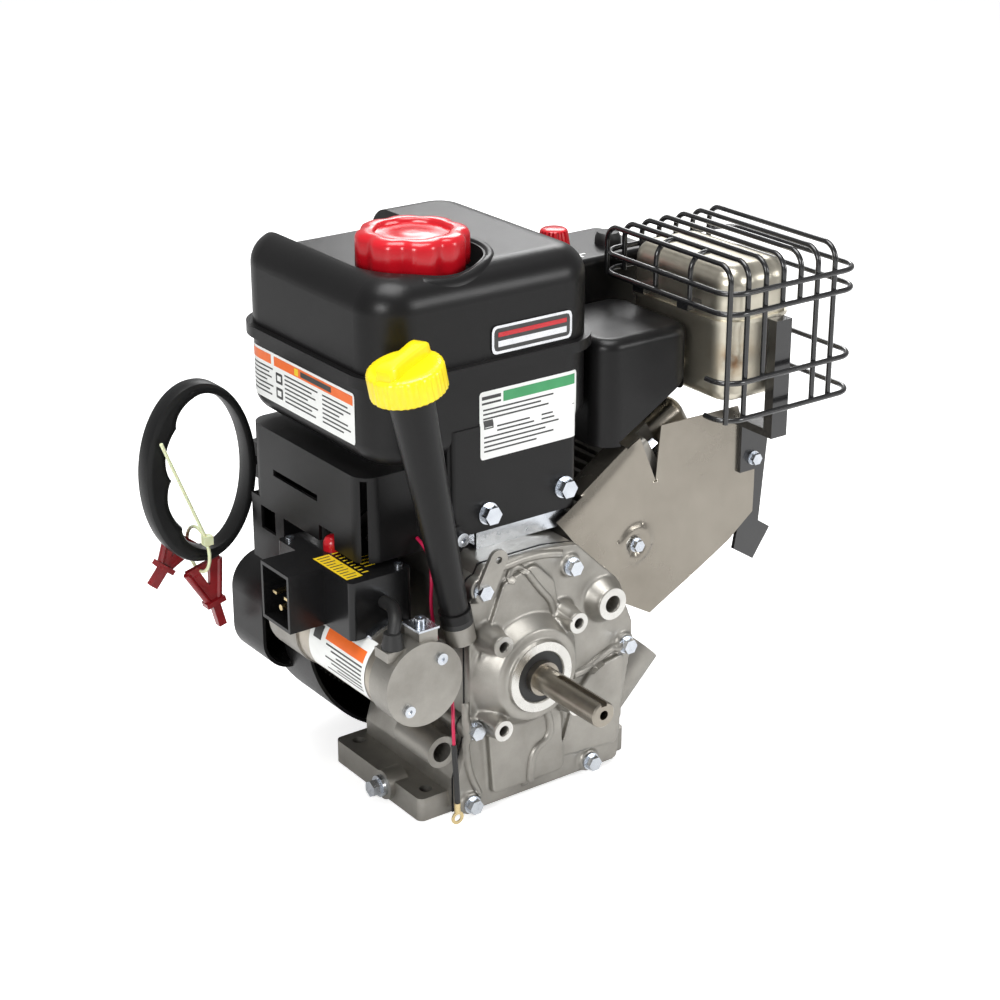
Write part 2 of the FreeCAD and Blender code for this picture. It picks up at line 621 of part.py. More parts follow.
def build_top_end():
    sleeve = rod_z(0, 0, bore_r + sleeve_wall, 62, deck).cut(rod_z(0, 0, bore_r, 61, deck + 1))
    plan = round_along(box(-fin_half_x, fin_half_x, -fin_half_y, fin_half_y, deck, head_s0), Z_DIR, 6.0)
    gasket_plate = cut(plan, [rod_z(0, 0, bore_r + 0.5, deck - 1, head_s0 + 1)]
                       + head_holes(deck - 1, head_s0 + 1) + pushrod_holes(deck - 1, head_s0 + 1))
    head = round_along(box(-fin_half_x, fin_half_x, -fin_half_y, fin_half_y, head_s0, head_s1), Z_DIR, 6.0)
    cuts = head_holes(head_s0 - 1, head_s1 + 1) + pushrod_holes(head_s0 - 1, head_s1 + 1)
    cuts.append(Part.makeCone(30.0, 24.0, 7.0, vec(0, 0, head_s0), Z_DIR))
    for sy in (-1, 1):
        cuts.append(rod_z(0, sy * valve_offset, valve_head_r + 0.3, head_s0 - 1, head_s0 + 9))
        cuts.append(rod_z(0, sy * valve_offset, valve_stem_r + run_gap, head_s0, head_s1 + 1))
        cuts.append(rod_z(0, sy * valve_offset, 10.0, head_s0 + 8, head_s0 + 18))
    for k in range(3):
        z = head_s0 + 6 + 8 * k
        cuts.append(box(fin_half_x - 14, fin_half_x + 1, -fin_half_y - 1, -24, z, z + 4))
        cuts.append(box(-fin_half_x - 1, -fin_half_x + 14, 24, fin_half_y + 1, z, z + 4))
    for sx in (-1, 1):
        for sy in (-1, 1):
            pocket = box(31.0, fin_half_x + 1, 32.5, fin_half_y + 1, head_s0 + 20, head_s1 + 1)
            pocket.Placement = FreeCAD.Placement(vec(0, 0, 0), FreeCAD.Rotation(Z_DIR, 0 if sx > 0 else 180))
            cuts.append(pocket if sx * sy > 0 else pocket.mirror(vec(0, 0, 0), Y_DIR))
    port_s = head_s0 + 13
    cuts.append(Part.makeCylinder(9.0, 40.0, vec(-fin_half_x - 1, -valve_offset, port_s), X_DIR))
    cuts.append(Part.makeCylinder(9.0, fin_half_y - valve_offset + 2, vec(0, valve_offset, port_s), Y_DIR))
    plug_dir = vec(1, 0, 0.25).normalize()
    cuts.append(Part.makeCylinder(6.0, fin_half_x, vec(10, 0, head_s0 + 9), plug_dir))
    cuts.append(Part.makeCylinder(10.5, 20.0, vec(10, 0, head_s0 + 9) + plug_dir * plug_seat, plug_dir))
    head = cut(head, cuts)
    half = cover_half_y
    cover = rounded_box(-fin_half_x + 8, fin_half_x, -half, half, head_s1, cover_s1, 12.0, 7.0)
    lip = box(-fin_half_x + 5, fin_half_x + 3, -half - 2.5, half + 2.5, head_s1, head_s1 + 3)
    lip = round_along(lip, Z_DIR, 14.0)
    hollow = rounded_box(-fin_half_x + 10.5, fin_half_x - 2.5, -half + 2.5, half - 2.5, head_s1 - 1,
                         cover_s1 - 2.5, 10.0, 5.0)
    cover = fuse([cover, lip]).cut(hollow)
    head_bolts = [hex_prism(vec(sx * head_bolt_x, sy * head_bolt_y, head_s0 + 20), Z_DIR, 10.0, 7.0).fuse(
        rod_z(sx * head_bolt_x, sy * head_bolt_y, 3.9, head_s0 - 25, head_s0 + 20)).removeSplitter()
                  for sx in (-1, 1) for sy in (-1, 1)]
    valves, stand = build_valve_train()
    nodes = {"cylinder_sleeve": on_cylinder_axis(sleeve), "rocker_cover": on_cylinder_axis(cover),
             "cylinder_head": on_cylinder_axis(fuse([head] + stand)),
             "head_gasket": on_cylinder_axis(gasket_plate),
             "head_bolts": on_cylinder_axis(Part.makeCompound(head_bolts))}
    nodes.update(valves)
    return nodes


def head_holes(s0, s1):
    return [rod_z(sx * head_bolt_x, sy * head_bolt_y, 4.0, s0, s1) for sx in (-1, 1) for sy in (-1, 1)]


def pushrod_holes(s0, s1):
    return [rod_z(pushrod_x, sy * valve_offset, pushrod_hole_r, s0, s1) for sy in (-1, 1)]


# ---------------------------------------------------------------- valve train

def build_valve_train():
    """Valves, pushrods and rockers for each side, and the stand that carries the rockers."""
    nodes = {}
    stand = []
    for side, y in (("exhaust", -valve_offset), ("intake", valve_offset)):
        head = rod_z(0, y, valve_head_r, head_s0 + 2, head_s0 + 5)
        stem = rod_z(0, y, valve_stem_r, head_s0 + 4, stem_top)
        retainer = rod_z(0, y, 8.0, stem_top - 4, stem_top - 1.5)
        nodes[side + "_valve"] = on_cylinder_axis(fuse([head, stem, retainer]))
        pushrod = rod_z(pushrod_x, y, pushrod_r, 12.0, stem_top)
        tappet = rod_z(pushrod_x, y, 6.0, 3.5, 14.0)
        nodes[side + "_pushrod"] = on_cylinder_axis(pushrod.fuse(tappet).removeSplitter())
        arm = box(-3, pushrod_x + 3, y - 4, y + 4, stem_top + tip_gap, stem_top + 6)
        hub = rod_y(pushrod_x / 2, stem_top + 6, 6.5, y - 5, y + 5)
        hub = hub.common(box(0, 60, -40, 40, stem_top + tip_gap, cover_s1))
        arm = fuse([arm, hub]).cut(rod_y(pushrod_x / 2, stem_top + 6, 3.0 + run_gap, y - 6, y + 6))
        nodes[side + "_rocker"] = on_cylinder_axis(arm)
        for y0 in (y - 9, y + 5.5):
            stand.append(box(pushrod_x / 2 - 4, pushrod_x / 2 + 4, y0, y0 + 3.5, head_s1, stem_top + 9))
    stand.append(rod_y(pushrod_x / 2, stem_top + 6, 3.0, -valve_offset - 9, valve_offset + 9))
    return nodes, stand


# ---------------------------------------------------------------- flywheel and recoil starter

def build_flywheel():
    hub = rod_y(0, crank_z, 20.0, housing_y0 + 2, flywheel_y1 + 4)
    disc = rod_y(0, crank_z, ring_pitch_r - 6, flywheel_y0, flywheel_y1)
    rim = rod_y(0, crank_z, magnet_rim_r, flywheel_y0 - 10, flywheel_y0 + 1)
    dish = rod_y(0, crank_z, magnet_rim_r - 12, flywheel_y0 - 11, flywheel_y0 + 6)
    dish = dish.cut(rod_y(0, crank_z, 20.0, flywheel_y0 - 12, flywheel_y0 + 7))
    ring_phase = mesh_phase(starter_x, starter_z, pinion_teeth, 0.0, 0, crank_z, ring_teeth)
    ring = gear(0, crank_z, flywheel_y1 - ring_width, flywheel_y1, ring_teeth, ring_module, ring_phase)
    blades = []
    for k in range(16):
        blade = box(42, ring_pitch_r - 8, flywheel_y1 - 1, flywheel_y1 + fan_height, -1.5, 1.5)
        blade.Placement = FreeCAD.Placement(vec(0, 0, crank_z), FreeCAD.Rotation(Y_DIR, k * 22.5))
        blades.append(blade)
    bore = [Part.makeCone(journal_r, 9.0, 40.0, vec(0, block_back_y + 8, crank_z), Y_DIR),
            rod_y(0, crank_z, 9.0, block_back_y + 48, 120.0)]
    wheel = fuse([disc, rim, hub, ring]).cut(dish)
    return cut(fuse([wheel] + blades), bore)


def build_flywheel_nut():
    nut = hex_prism(vec(0, flywheel_y1 + 4, crank_z), Y_DIR, 24.0, 7.0)
    return nut.cut(rod_y(0, crank_z, 8.0, 100, 130))


def housing_profile(inset):
    """Scroll outline that leads the fan's air from the flywheel to the cylinder."""
    return [(-30.0, 190.0 - inset), (30.0, 206.0 - inset), (96.0, 236.0 - inset),
            (150.0 - inset, 232.0 - inset), (176.0 - inset, 184.0), (120.0, 110.0 + inset),
            (70.0, 60.0 + inset), (0.0, 106.0)]


def build_blower_housing():
    outer = fuse([rod_y(0, crank_z, housing_r, housing_y0, housing_y1),
                  prism(housing_profile(0), housing_y0, housing_y1)])
    inner = fuse([rod_y(0, crank_z, housing_r - housing_wall, housing_y0 - 1, housing_y1 - housing_wall),
                  prism(housing_profile(housing_wall), housing_y0 - 1, housing_y1 - housing_wall)])
    pocket = round_along(box(-115.0, -50.0, 98.0, recoil_y1 - 4, 64.0, 146.0), Y_DIR, 26.0)
    pocket_in = round_along(box(-115.0 + housing_wall, -50.0, 97.0, recoil_y1 - 4 - housing_wall,
                                64.0 + housing_wall, 146.0 - housing_wall), Y_DIR, 23.5)
    shell = fuse([outer, pocket]).cut(fuse([inner, pocket_in]))
    side = box(tank_x0 + 1, -46.0, -26.0, 125.0, 194.0, 257.0)
    side = round_along(side, Z_DIR, 14.0)
    side_in = box(tank_x0 + 1 + housing_wall, -46.0 - housing_wall, -26.0 + housing_wall,
                  125.0 - housing_wall, 190.0, 257.0 - housing_wall)
    back = box(tank_x0 + 1, -46.0, 80.0, 125.0, 150.0, 200.0)
    back_in = box(tank_x0 + 1 + housing_wall, -40.0, 80.0 + housing_wall, 125.0 - housing_wall, 140.0, 202.0)
    upper = fuse([side, back]).cut(fuse([side_in, back_in]))
    slot = box(tank_x0, tank_x0 + 6, 32.0, 92.0, 223.0, 228.0)
    tools = [inner, slot, rod_between(vec(118.0, 68.0, 136.0), vec(152.0, 46.0, 102.0), 4.2),
             rod_y(0, crank_z, recoil_r - 12, housing_y1 - 4, housing_y1 + 1),
             rod_y(0, crank_z, recoil_r + 0.3, housing_y1, recoil_y1 + 1),
             rod_y(starter_x, starter_z, end_cap_r + 0.3, housing_y0 - 1, drive_y1 + 0.3),
             rod_y(starter_x, starter_z, pinion_pitch_r + 2 * ring_module, drive_y1,
                   drive_y1 + pinion_travel + 1),
             box(tank_x0, tank_x0 + 6, 92.0, 112.0, 176.0, 194.0),
             box(tank_x0, button_x + 10, button_y - 10, button_y + 10, 190.0, 206.0)]
    return cut(fuse([shell, upper]), tools)


def build_recoil():
    blank = rod_y(0, crank_z, recoil_r, housing_y1, recoil_y1)
    rim = [edge for edge in blank.Edges if edge.BoundBox.YMin > recoil_y1 - 1]
    outer = blank.makeFillet(8.0, rim)
    hollow = rod_y(0, crank_z, recoil_r - 3, housing_y1 - 1, recoil_y1 - 2.5)
    arm = prism([(-52, 150), (-36, 168), (-60, 232), (-92, 232), (-92, 204), (-74, 196)],
                pulley_y0 - 4, recoil_y1 - 1)
    arm_in = prism([(-46, 150), (-40, 168), (-62, 228), (-88, 228), (-88, 208), (-70, 198)],
                   pulley_y0 - 1.5, recoil_y1 - 3.5)
    slots = []
    for k in range(12):
        slot = box(50.0, 70.0, recoil_y1 - 5, recoil_y1 + 1, -5.0, 5.0)
        slot.Placement = FreeCAD.Placement(vec(0, 0, crank_z), FreeCAD.Rotation(Y_DIR, k * 30))
        slots.append(slot)
    rope_hole = rod_x(handle_y, rope_z, rope_r + 1.0, -100, -80)
    shell = cut(fuse([outer, arm]), [hollow, arm_in, rope_hole] + slots)
    post = rod_y(0, crank_z, 8.0, pulley_y0 - 6, recoil_y1 - 2.4)
    cover = shell.fuse(post).removeSplitter()
    pulley = rod_y(0, crank_z, pulley_r + 6, pulley_y0, pulley_y0 + pulley_width)
    groove = rod_y(0, crank_z, pulley_r + 7, pulley_y0 + 3, pulley_y0 + pulley_width - 3)
    groove = groove.cut(rod_y(0, crank_z, pulley_r - 6, pulley_y0 + 2, pulley_y0 + pulley_width))
    pulley = cut(pulley, [groove, rod_y(0, crank_z, 8.0 + run_gap, pulley_y0 - 1, recoil_y1)])
    rope = rod_y(0, crank_z, pulley_r + 3, pulley_y0 + 3, pulley_y0 + pulley_width - 3)
    rope = rope.cut(rod_y(0, crank_z, pulley_r - 6, pulley_y0 + 2, pulley_y0 + pulley_width))
    cup = rod_y(0, crank_z, 34.0, flywheel_y1 + 11.5, pulley_y0 - 7)
    cup = cup.cut(rod_y(0, crank_z, 31.0, flywheel_y1 + 13, pulley_y0 - 6))
    cup = cup.cut(rod_y(0, crank_z, 8.0, 100, 140))
    return {"recoil_housing": cover, "recoil_pulley": Part.makeCompound([pulley, rope]), "starter_cup": cup}


def build_handle():
    half_w = 45.0
    half_h = 69.0
    middle = vec(-141.0, handle_y, 221.0)
    outer = Part.Ellipse(vec(0, 0, 0), half_h, half_w).toShape()
    loop = Part.Face(Part.Wire([outer])).extrude(vec(0, 0, 20.0))
    inner = Part.Ellipse(vec(0, 0, 0), half_h - 14, 27.0).toShape()
    hole = Part.Face(Part.Wire([inner])).extrude(vec(0, 0, 22.0))
    hole.translate(vec(0, -8.0, -1))
    loop = loop.cut(hole)
    turn = FreeCAD.Rotation(X_DIR, 90).multiply(FreeCAD.Rotation(Z_DIR, 90))
    loop.Placement = FreeCAD.Placement(middle + vec(0, 10.0, 0), turn)
    knot = rod_x(handle_y, rope_z, rope_r, -93.0, -66.0)
    boss = rod_x(handle_y, rope_z, 7.0, -112.0, -93.5)
    inside = hole.copy()
    inside.Placement = FreeCAD.Placement(middle + vec(0, 10.0, 0), turn).multiply(
        FreeCAD.Placement(vec(0, -8.0, -1), FreeCAD.Rotation()))
    return {"pull_handle": loop.fuse(boss.cut(inside)).removeSplitter(), "rope_end": knot}


def safety_key(top, tip):
    """Flat push-in key: flared grip with a finger slot, a collar and a square blade; top to tip."""
    span = tip.sub(top).Length
    collar_z = 0.58 * span
    grip = prism([(-14.5, 0), (14.5, 0), (5.0, collar_z), (-5.0, collar_z)], -2.0, 2.0)
    hole = prism([(-4.0, 5), (4.0, 5), (0.5, 18), (-0.5, 18)], -3.0, 3.0)
    rails = [rod_between(vec(sx * 14.0, 0, 2.0), vec(sx * 4.5, 0, collar_z), 2.8) for sx in (-1, 1)]
    collar = box(-8.0, 8.0, -4.5, 4.5, collar_z, collar_z + 4.0)
    blade = box(-3.2, 3.2, -3.2, 3.2, collar_z + 3.0, span)
    key = cut(fuse([grip, collar, blade] + rails), [hole])
    down = tip.sub(top)
    angle = math.degrees(math.atan2(down.x, down.z))
    key.Placement = FreeCAD.Placement(top, FreeCAD.Rotation(Y_DIR, angle))
    return key


def build_tie_and_keys():
    loop_x = -144.0
    loop_z = 160.0
    loop = Part.makeTorus(17.0, 1.3, vec(loop_x, handle_y, loop_z), X_DIR)
    head_z = loop_z + 11.0
    head_y = handle_y - 15.5
    head = box(loop_x - 3.5, loop_x + 3.5, head_y - 2.5, head_y + 3.5, head_z - 2, head_z + 5)
    tail = rod_between(vec(loop_x, head_y, head_z), vec(-176.0, handle_y - 14.5, 254.0), 1.3)
    keys = [safety_key(vec(-148.0, handle_y + 14.6, 167.0), vec(-176.0, handle_y + 14.6, 133.0)),
            safety_key(vec(-141.6, handle_y, 147.5), vec(-128.2, handle_y, 95.0))]
    return {"zip_tie": fuse([loop, tail, head]), "safety_keys": Part.makeCompound(keys).cut(loop)}


# ---------------------------------------------------------------- electric starter

def build_starter():
    axis = (starter_x, starter_z)
    can = rod_y(*axis, motor_r, motor_y0, motor_y1)
    can = can.cut(rod_y(*axis, motor_r - 2.5, motor_y0 - 1, motor_y1 + 1))
    cap = rod_y(*axis, end_cap_r, end_cap_y0, motor_y0)
    cap = cap.cut(rod_y(*axis, motor_r - 4, end_cap_y0 + 4, motor_y0 + 1))
    cap = cap.cut(rod_y(*axis, 4.0 + run_gap, end_cap_y0 + 2, motor_y0))
    lug = box(starter_x - 27, starter_x - 11, end_cap_y0 + 4, motor_y0 - 2, starter_z + 22, starter_z + 29.0)
    block = box(starter_x - 2, starter_x + 13, end_cap_y0 + 3, motor_y0 - 1, starter_z + 26, starter_z + 38)
    hollow = rod_y(*axis, motor_r - 4, end_cap_y0 + 4, motor_y0 + 1)
    lug = lug.cut(hollow)
    cap = fuse([cap, lug, block.cut(hollow)])
    drive = rod_y(*axis, end_cap_r, motor_y1, drive_y1 - 12)
    nose = Part.makeCone(end_cap_r, 16.0, 12.0, vec(starter_x, drive_y1 - 12, starter_z), Y_DIR)
    ear = prism([(-62, 96), (-44, 84), (-44, 100), (-60, 126)], block_back_y + 0.5, block_back_y + 9)
    drive = fuse([drive, nose, ear])
    drive = cut(drive, [rod_y(*axis, motor_r - 4, motor_y1 - 1, drive_y1 - 14),
                        rod_y(*axis, pinion_pitch_r + 3.5, drive_y1 - 16, drive_y1 + 1)])
    places = [(starter_x + 21 * math.cos(a), starter_z + 21 * math.sin(a)) for a in (math.radians(50),
                                                                                     math.radians(230))]
    cap = cut(cap, [rod_y(x, z, 2.2, end_cap_y0 - 1, end_cap_y0 + 4) for x, z in places])
    screws = [pan_screw(vec(x, end_cap_y0, z), Y_DIR * -1, 4.2, 2.4, 2.2, 3.5) for x, z in places]
    rotor = fuse([rod_y(*axis, 4.0, end_cap_y0 + 3, drive_y1 + pinion_travel),
                  rod_y(*axis, motor_r - 6, motor_y0 + 14, motor_y1 - 8)])
    pinion_y1 = drive_y1 - 2
    pinion = gear(*axis, pinion_y1 - pinion_width, pinion_y1, pinion_teeth, ring_module, 0.0)
    pinion = pinion.cut(rod_y(*axis, 4.0 + run_gap, 0, 200))
    clip = box(starter_x - 3, starter_x + 14, end_cap_y0 + 2, motor_y0, starter_z + 38, starter_z + 39.5)
    post = pan_screw(vec(starter_x + 5.5, end_cap_y0 + 13, starter_z + 39.5), Z_DIR, 4.0, 4.5, 2.2, 1.4)
    return {"starter_can": can, "starter_end_cap": cap, "starter_drive_housing": drive,
            "starter_screws": Part.makeCompound(screws), "starter_rotor": rotor, "starter_pinion": pinion,
            "starter_terminal": clip.fuse(post).removeSplitter()}


def build_switch_box():
    main = round_along(box(box_x0, box_x1, box_y0, box_y1, box_z0, box_z1), Z_DIR, 4.0)
    inlet = box(inlet_x0, box_x0 + 4, inlet_y0, inlet_y1, box_z0, box_z1)
    around_can = rod_y(starter_x, starter_z, end_cap_r + 0.5, box_y0 - 5, box_y1 + 5)
    recess = box(inlet_x0 - 1, inlet_x0 + 24, inlet_y0 + 2.5, inlet_y1 - 2.5, box_z0 + 2.5, box_z1 - 2.5)
    button_hole = rod_z(button_x, button_y, 7.3, box_z1 - 8, box_z1 + 1)
    body = cut(fuse([main, inlet]), [around_can, recess, button_hole])
    middle_y = (inlet_y0 + inlet_y1) / 2
    middle_z = (box_z0 + box_z1) / 2
    prongs = [box(inlet_x0 + 4, inlet_x0 + 24, middle_y + dy - 2.5, middle_y + dy + 2.5, middle_z - 1,
                  middle_z + 1)
              for dy in (-7.5, 7.5)]
    prongs.append(rod_x(middle_y, middle_z - 9, 2.2, inlet_x0 + 4, inlet_x0 + 24))
    button = rod_z(button_x, button_y, 7.0, box_z1 - 4.5, box_z1 + 4)
    dome = Part.makeSphere(7.0, vec(button_x, button_y, box_z1 + 4), Z_DIR, 0, 90, 360)
    places = ((box_x1 - 6, box_y0 + 8), (box_x0 + 7, box_y1 - 6))
    screws = [pan_screw(vec(x, y, box_z1), Z_DIR, 3.2, 2.0, 1.5, 5.0) for x, y in places]
    screw_holes = [rod_z(x, y, 1.5, box_z1 - 5, box_z1 + 1) for x, y in places]
    saddle = rod_y(starter_x, starter_z, motor_r + 2.0, box_y0 - 4, 30.0).cut(
        rod_y(starter_x, starter_z, motor_r, box_y0 - 5, 31.0))
    reach = box(starter_x - 18, starter_x + 18, box_y0 - 5, 31.0, starter_z + 20, starter_z + 40)
    saddle = saddle.common(reach)
    return {"switch_box": cut(body, screw_holes), "inlet_prongs": Part.makeCompound(prongs),
            "switch_button": button.fuse(dome).removeSplitter(), "box_screws": Part.makeCompound(screws),
            "box_bracket": saddle}


def build_starter_cable():
    """Cable from the switch box down to the end cap, with its moulded boot."""
    exit_y = box_y0 - 0.3
    boot_z = starter_z + 29.3
    points = [vec(-96.0, exit_y, 171.0), vec(-96.5, exit_y - 13, 171.6), vec(-103.0, exit_y - 25, 168.5),
              vec(-109.0, exit_y - 31, boot_z + 8)]
    boot = Part.makeCone(8.0, 6.0, 11.0, vec(-109.5, exit_y - 31.0, boot_z), Z_DIR)
    return tube_along(points, 4.5, "starter_cable").fuse(boot).removeSplitter()


# ---------------------------------------------------------------- fuel tank

def cap_recess(grow, floor):
    well = rod_z(cap_x, cap_y, recess_r + grow, floor, tank_top_z + 20)
    lane = box(cap_x - recess_r - grow, cap_x + recess_r + grow, cap_y, tank_y1 + 5, floor, tank_top_z + 20)
    return fuse([well, lane])


def build_tank():
    x0 = tank_x0 + rim_out
    x1 = tank_x1 - rim_out
    y0 = tank_y0 + rim_out
    y1 = tank_y1 - rim_out
    wall = tank_wall
    upper = rounded_box(x0, x1, y0, y1, rim_z1 - 4, tank_top_z, tank_corner_r, 22.0)
    upper_in = rounded_box(x0 + wall, x1 - wall, y0 + wall, y1 - wall, rim_z1 - 5, tank_top_z - wall,
                           tank_corner_r - wall, 19.0)
    upper = upper.cut(cap_recess(0, recess_z))
    upper_in = upper_in.cut(cap_recess(wall, recess_z - wall))
    rim = round_along(box(tank_x0, tank_x1, tank_y0, tank_y1, rim_z1 - 4, rim_z1), Z_DIR,
                      tank_corner_r + rim_out)
    neck = rod_z(cap_x, cap_y, neck_r, recess_z - 1, cap_z0 - 1)
    filler = rod_z(cap_x, cap_y, neck_r - 4, recess_z - 10, cap_z0 + 1)
    top = cut(fuse([upper, rim, neck]), [upper_in, filler])
    lower = round_along(box(x0, x1, y0, y1, tank_low_z, rim_z1 - 4), Z_DIR, tank_corner_r)
    lower = lower.makeFillet(16.0, edges_at_z(lower, tank_low_z))
    lower_in = round_along(box(x0 + wall, x1 - wall, y0 + wall, y1 - wall, tank_low_z + wall, rim_z1 - 3),
                           Z_DIR, tank_corner_r - wall)
    lower_in = lower_in.makeFillet(13.0, edges_at_z(lower_in, tank_low_z + wall))
    lower_rim = round_along(box(tank_x0, tank_x1, tank_y0, tank_y1, rim_z0, rim_z1 - 4), Z_DIR,
                            tank_corner_r + rim_out)
    apron = round_along(box(apron_x0, apron_x1, y0 - 1, y0 + 14, apron_z0, tank_low_z + 20), Z_DIR, 5.0)
    apron_in = box(apron_x0 + wall, apron_x1 - wall, y0 + 2, y0 + 20, apron_z0 - 1, tank_low_z - 1)
    bottom = cut(fuse([lower, lower_rim, apron]), [lower_in, apron_in])
    bolts = []
    holes = []
    for x, z in tank_bolt_places():
        bolts.append(flange_bolt(vec(x, y0 - 1, z), Y_DIR * -1, 12.0, 4.0, 9.0))
        holes.append(rod_y(x, z, 4.0, y0 - 2, y0 + 8))
    plate = box(-21.5, 57.0, y0 + 2, y0 + 4.5, 192.0, 234.0)
    foot = box(-21.5, 57.0, y0 + 2, y0 + 40, 192.0, 194.5)
    bracket = fuse([plate, foot])
    ear_hole = rod_y(ear_x, ear_z, 2.5, y0 - 2, y0 + 8)
    return {"tank_upper": top, "tank_lower": cut(bottom, holes + [ear_hole]),
            "tank_bolts": Part.makeCompound(bolts),
            "tank_bracket": cut(bracket, holes)}


def tank_bolt_places():
    return [(-14.0, 219.0), (52.0, 223.0)]


def build_fuel_cap():
    body = rod_z(cap_x, cap_y, cap_r, cap_z0, cap_z1)
    top_edge = [edge for edge in body.Edges if edge.BoundBox.ZMin > cap_z1 - 1]
    body = body.makeFillet(5.0, top_edge)
    bites = []
    for k in range(8):
        angle = math.radians(45 * k + 10)
        bites.append(rod_z(cap_x + 47 * math.cos(angle), cap_y + 47 * math.sin(angle), 12.0, cap_z0 - 1,
                           cap_z1 + 1))
    skirt = rod_z(cap_x, cap_y, neck_r + 0.6, cap_z0 - 1, cap_z0 + 16)
    return cut(body, bites + [skirt])


# ---------------------------------------------------------------- oil fill

def build_oil_fill():
    foot = vec(*fill_foot)
    top = vec(*fill_top)
    along = top.sub(foot).normalize()
    span = top.sub(foot).Length
    outer = Part.makeCone(fill_foot_r, fill_top_r, span, foot, along)
    plug = Part.makeCylinder(8.0, 12.0, foot.sub(along * 11.0), along)
    collar = Part.makeCylinder(fill_boss_r + 0.5, 7.0, foot + along * 4.0, along)
    inner = Part.makeCone(fill_foot_r - fill_wall - 1, fill_top_r - fill_wall, span + 2, foot.sub(along),
                          along)
    through = Part.makeCylinder(5.5, 40.0, foot.sub(along * 20.0), along)
    ear_y = foot.y + 14.0
    ear = prism([(-62.0, 198.0), (ear_x, 200.0), (ear_x + 6, 206.0), (ear_x + 6, 214.0), (ear_x, 219.0),
                 (-62.0, 219.0)], ear_y, ear_y + 2.5)
    rib = box(-66.0, -59.0, foot.y + 6.0, ear_y + 2.5, 200.0, 217.0)
    ear = fuse([ear, rib]).cut(rod_y(ear_x, ear_z, 2.5, ear_y - 1, ear_y + 4))
    tube = cut(fuse([outer, plug, collar, ear]), [inner, through])
    seal = Part.makeCylinder(fill_boss_r + 0.5, 4.0, foot, along)
    seal = seal.cut(Part.makeCylinder(fill_foot_r + 0.2, 6.0, foot.sub(along), along))
    screw = pan_screw(vec(ear_x, ear_y, ear_z), Y_DIR * -1, 5.0, 3.0, 2.5, tank_y0 + rim_out - ear_y + 1)
    cap = Part.makeCylinder(yellow_cap_r, yellow_cap_h, top.sub(along * (yellow_cap_h - 5.0)), along)
    crown = top + along * 5.0
    edge = [e for e in cap.Edges if len(e.Vertexes) == 1 and e.CenterOfMass.sub(crown).Length < 1.0]
    cap = cap.makeFillet(2.5, edge)
    cap = cap.cut(Part.makeCylinder(fill_top_r + 0.5, 40.0, top.sub(along * 40.0), along))
    grip = round_along(box(-24, 24, -8, 8, 0, 9), Z_DIR, 4.0)
    grip.Placement = FreeCAD.Placement(top + along * 4.5, FreeCAD.Rotation(Z_DIR, along).multiply(
        FreeCAD.Rotation(Z_DIR, 20)))
    stick = Part.makeCylinder(2.5, stick_length, top.sub(along * stick_length), along)
    return {"oil_fill_tube": tube, "fill_tube_seal": seal, "ear_screw": screw,
            "dipstick_cap": fuse([cap, grip, stick])}


# ---------------------------------------------------------------- fuel system, controls

def build_carburetor():
    """Carburetor with its float bowl, and the manifold block that joins it to the head."""
    throat_x = 120.0
    throat_z = 265.0
    port = cylinder_point(0, 0, head_s0 + 13)
    manifold_y0 = fin_half_y + 0.3
    manifold_y1 = manifold_y0 + 12.0
    block = prism([(138, 180), (162, 186), (138, 278), (104, 278), (104, 252)], manifold_y0, manifold_y1)
    body = box(throat_x - 15, throat_x + 15, manifold_y1, manifold_y1 + 34, throat_z - 14, throat_z + 14)
    bowl = rod_z(throat_x, manifold_y1 + 17, 14.0, throat_z - 26, throat_z - 13)
    throat = rod_y(throat_x, throat_z, 14.0, manifold_y1 + 30, manifold_y1 + 42)
    passage = rod_y(throat_x, throat_z, 9.0, manifold_y0 + 3, manifold_y1 + 43)
    inlet = rod_y(port.x, port.z, 9.0, manifold_y0 - 1, manifold_y1 - 3)
    link = rod_between(vec(port.x, manifold_y0 + 5, port.z), vec(throat_x, manifold_y0 + 5, throat_z), 4.0)
    return {"carburetor": cut(fuse([block, body, bowl, throat]), [passage, inlet, link])}


def build_ignition():
    """Spark plug in the head's lower side, and the coil with its moulded lead and boot."""
    root = cylinder_point(10, 0, head_s0 + 9)
    along = cylinder_point(14, 0, head_s0 + 10).sub(root).normalize()
    seat = root + along * (plug_seat + 0.1)
    thread = Part.makeCylinder(5.9, 12.0, seat.sub(along * 12.0), along)
    shell = hex_prism(seat, along, 16.0, 9.0)
    ceramic = Part.makeCylinder(5.0, 20.0, seat + along * 9.0, along)
    plug = fuse([thread, shell, ceramic])
    boot = Part.makeCylinder(8.0, 22.0, seat + along * 12.0, along)
    boot = boot.cut(Part.makeCylinder(5.0, 17.2, seat + along * 12.0, along))
    core = []
    for y0 in (68.0, 82.0):
        core.append(box(magnet_rim_r + 1, ring_pitch_r + 10, y0, y0 + 6, -7.0, 7.0))
    core.append(box(ring_pitch_r, ring_pitch_r + 26, 68.0, 88.0, -15.0, 15.0))
    coil = round_along(fuse(core), X_DIR, 2.0)
    coil.Placement = FreeCAD.Placement(vec(0, 0, crank_z), FreeCAD.Rotation(Y_DIR, -20))
    far = seat + along * 33.0
    points = [vec(104.0, 76.0, 148.0), vec(122.0, 66.0, 132.0), vec(146.0, 50.0, 108.0),
              vec(180.0, 32.0, 92.0), vec(210.0, 14.0, 92.0), far + along * 22.0, far]
    lead = tube_along(points, 3.5, "plug_lead")
    return {"spark_plug": plug, "ignition_coil": fuse([coil, lead, boot])}


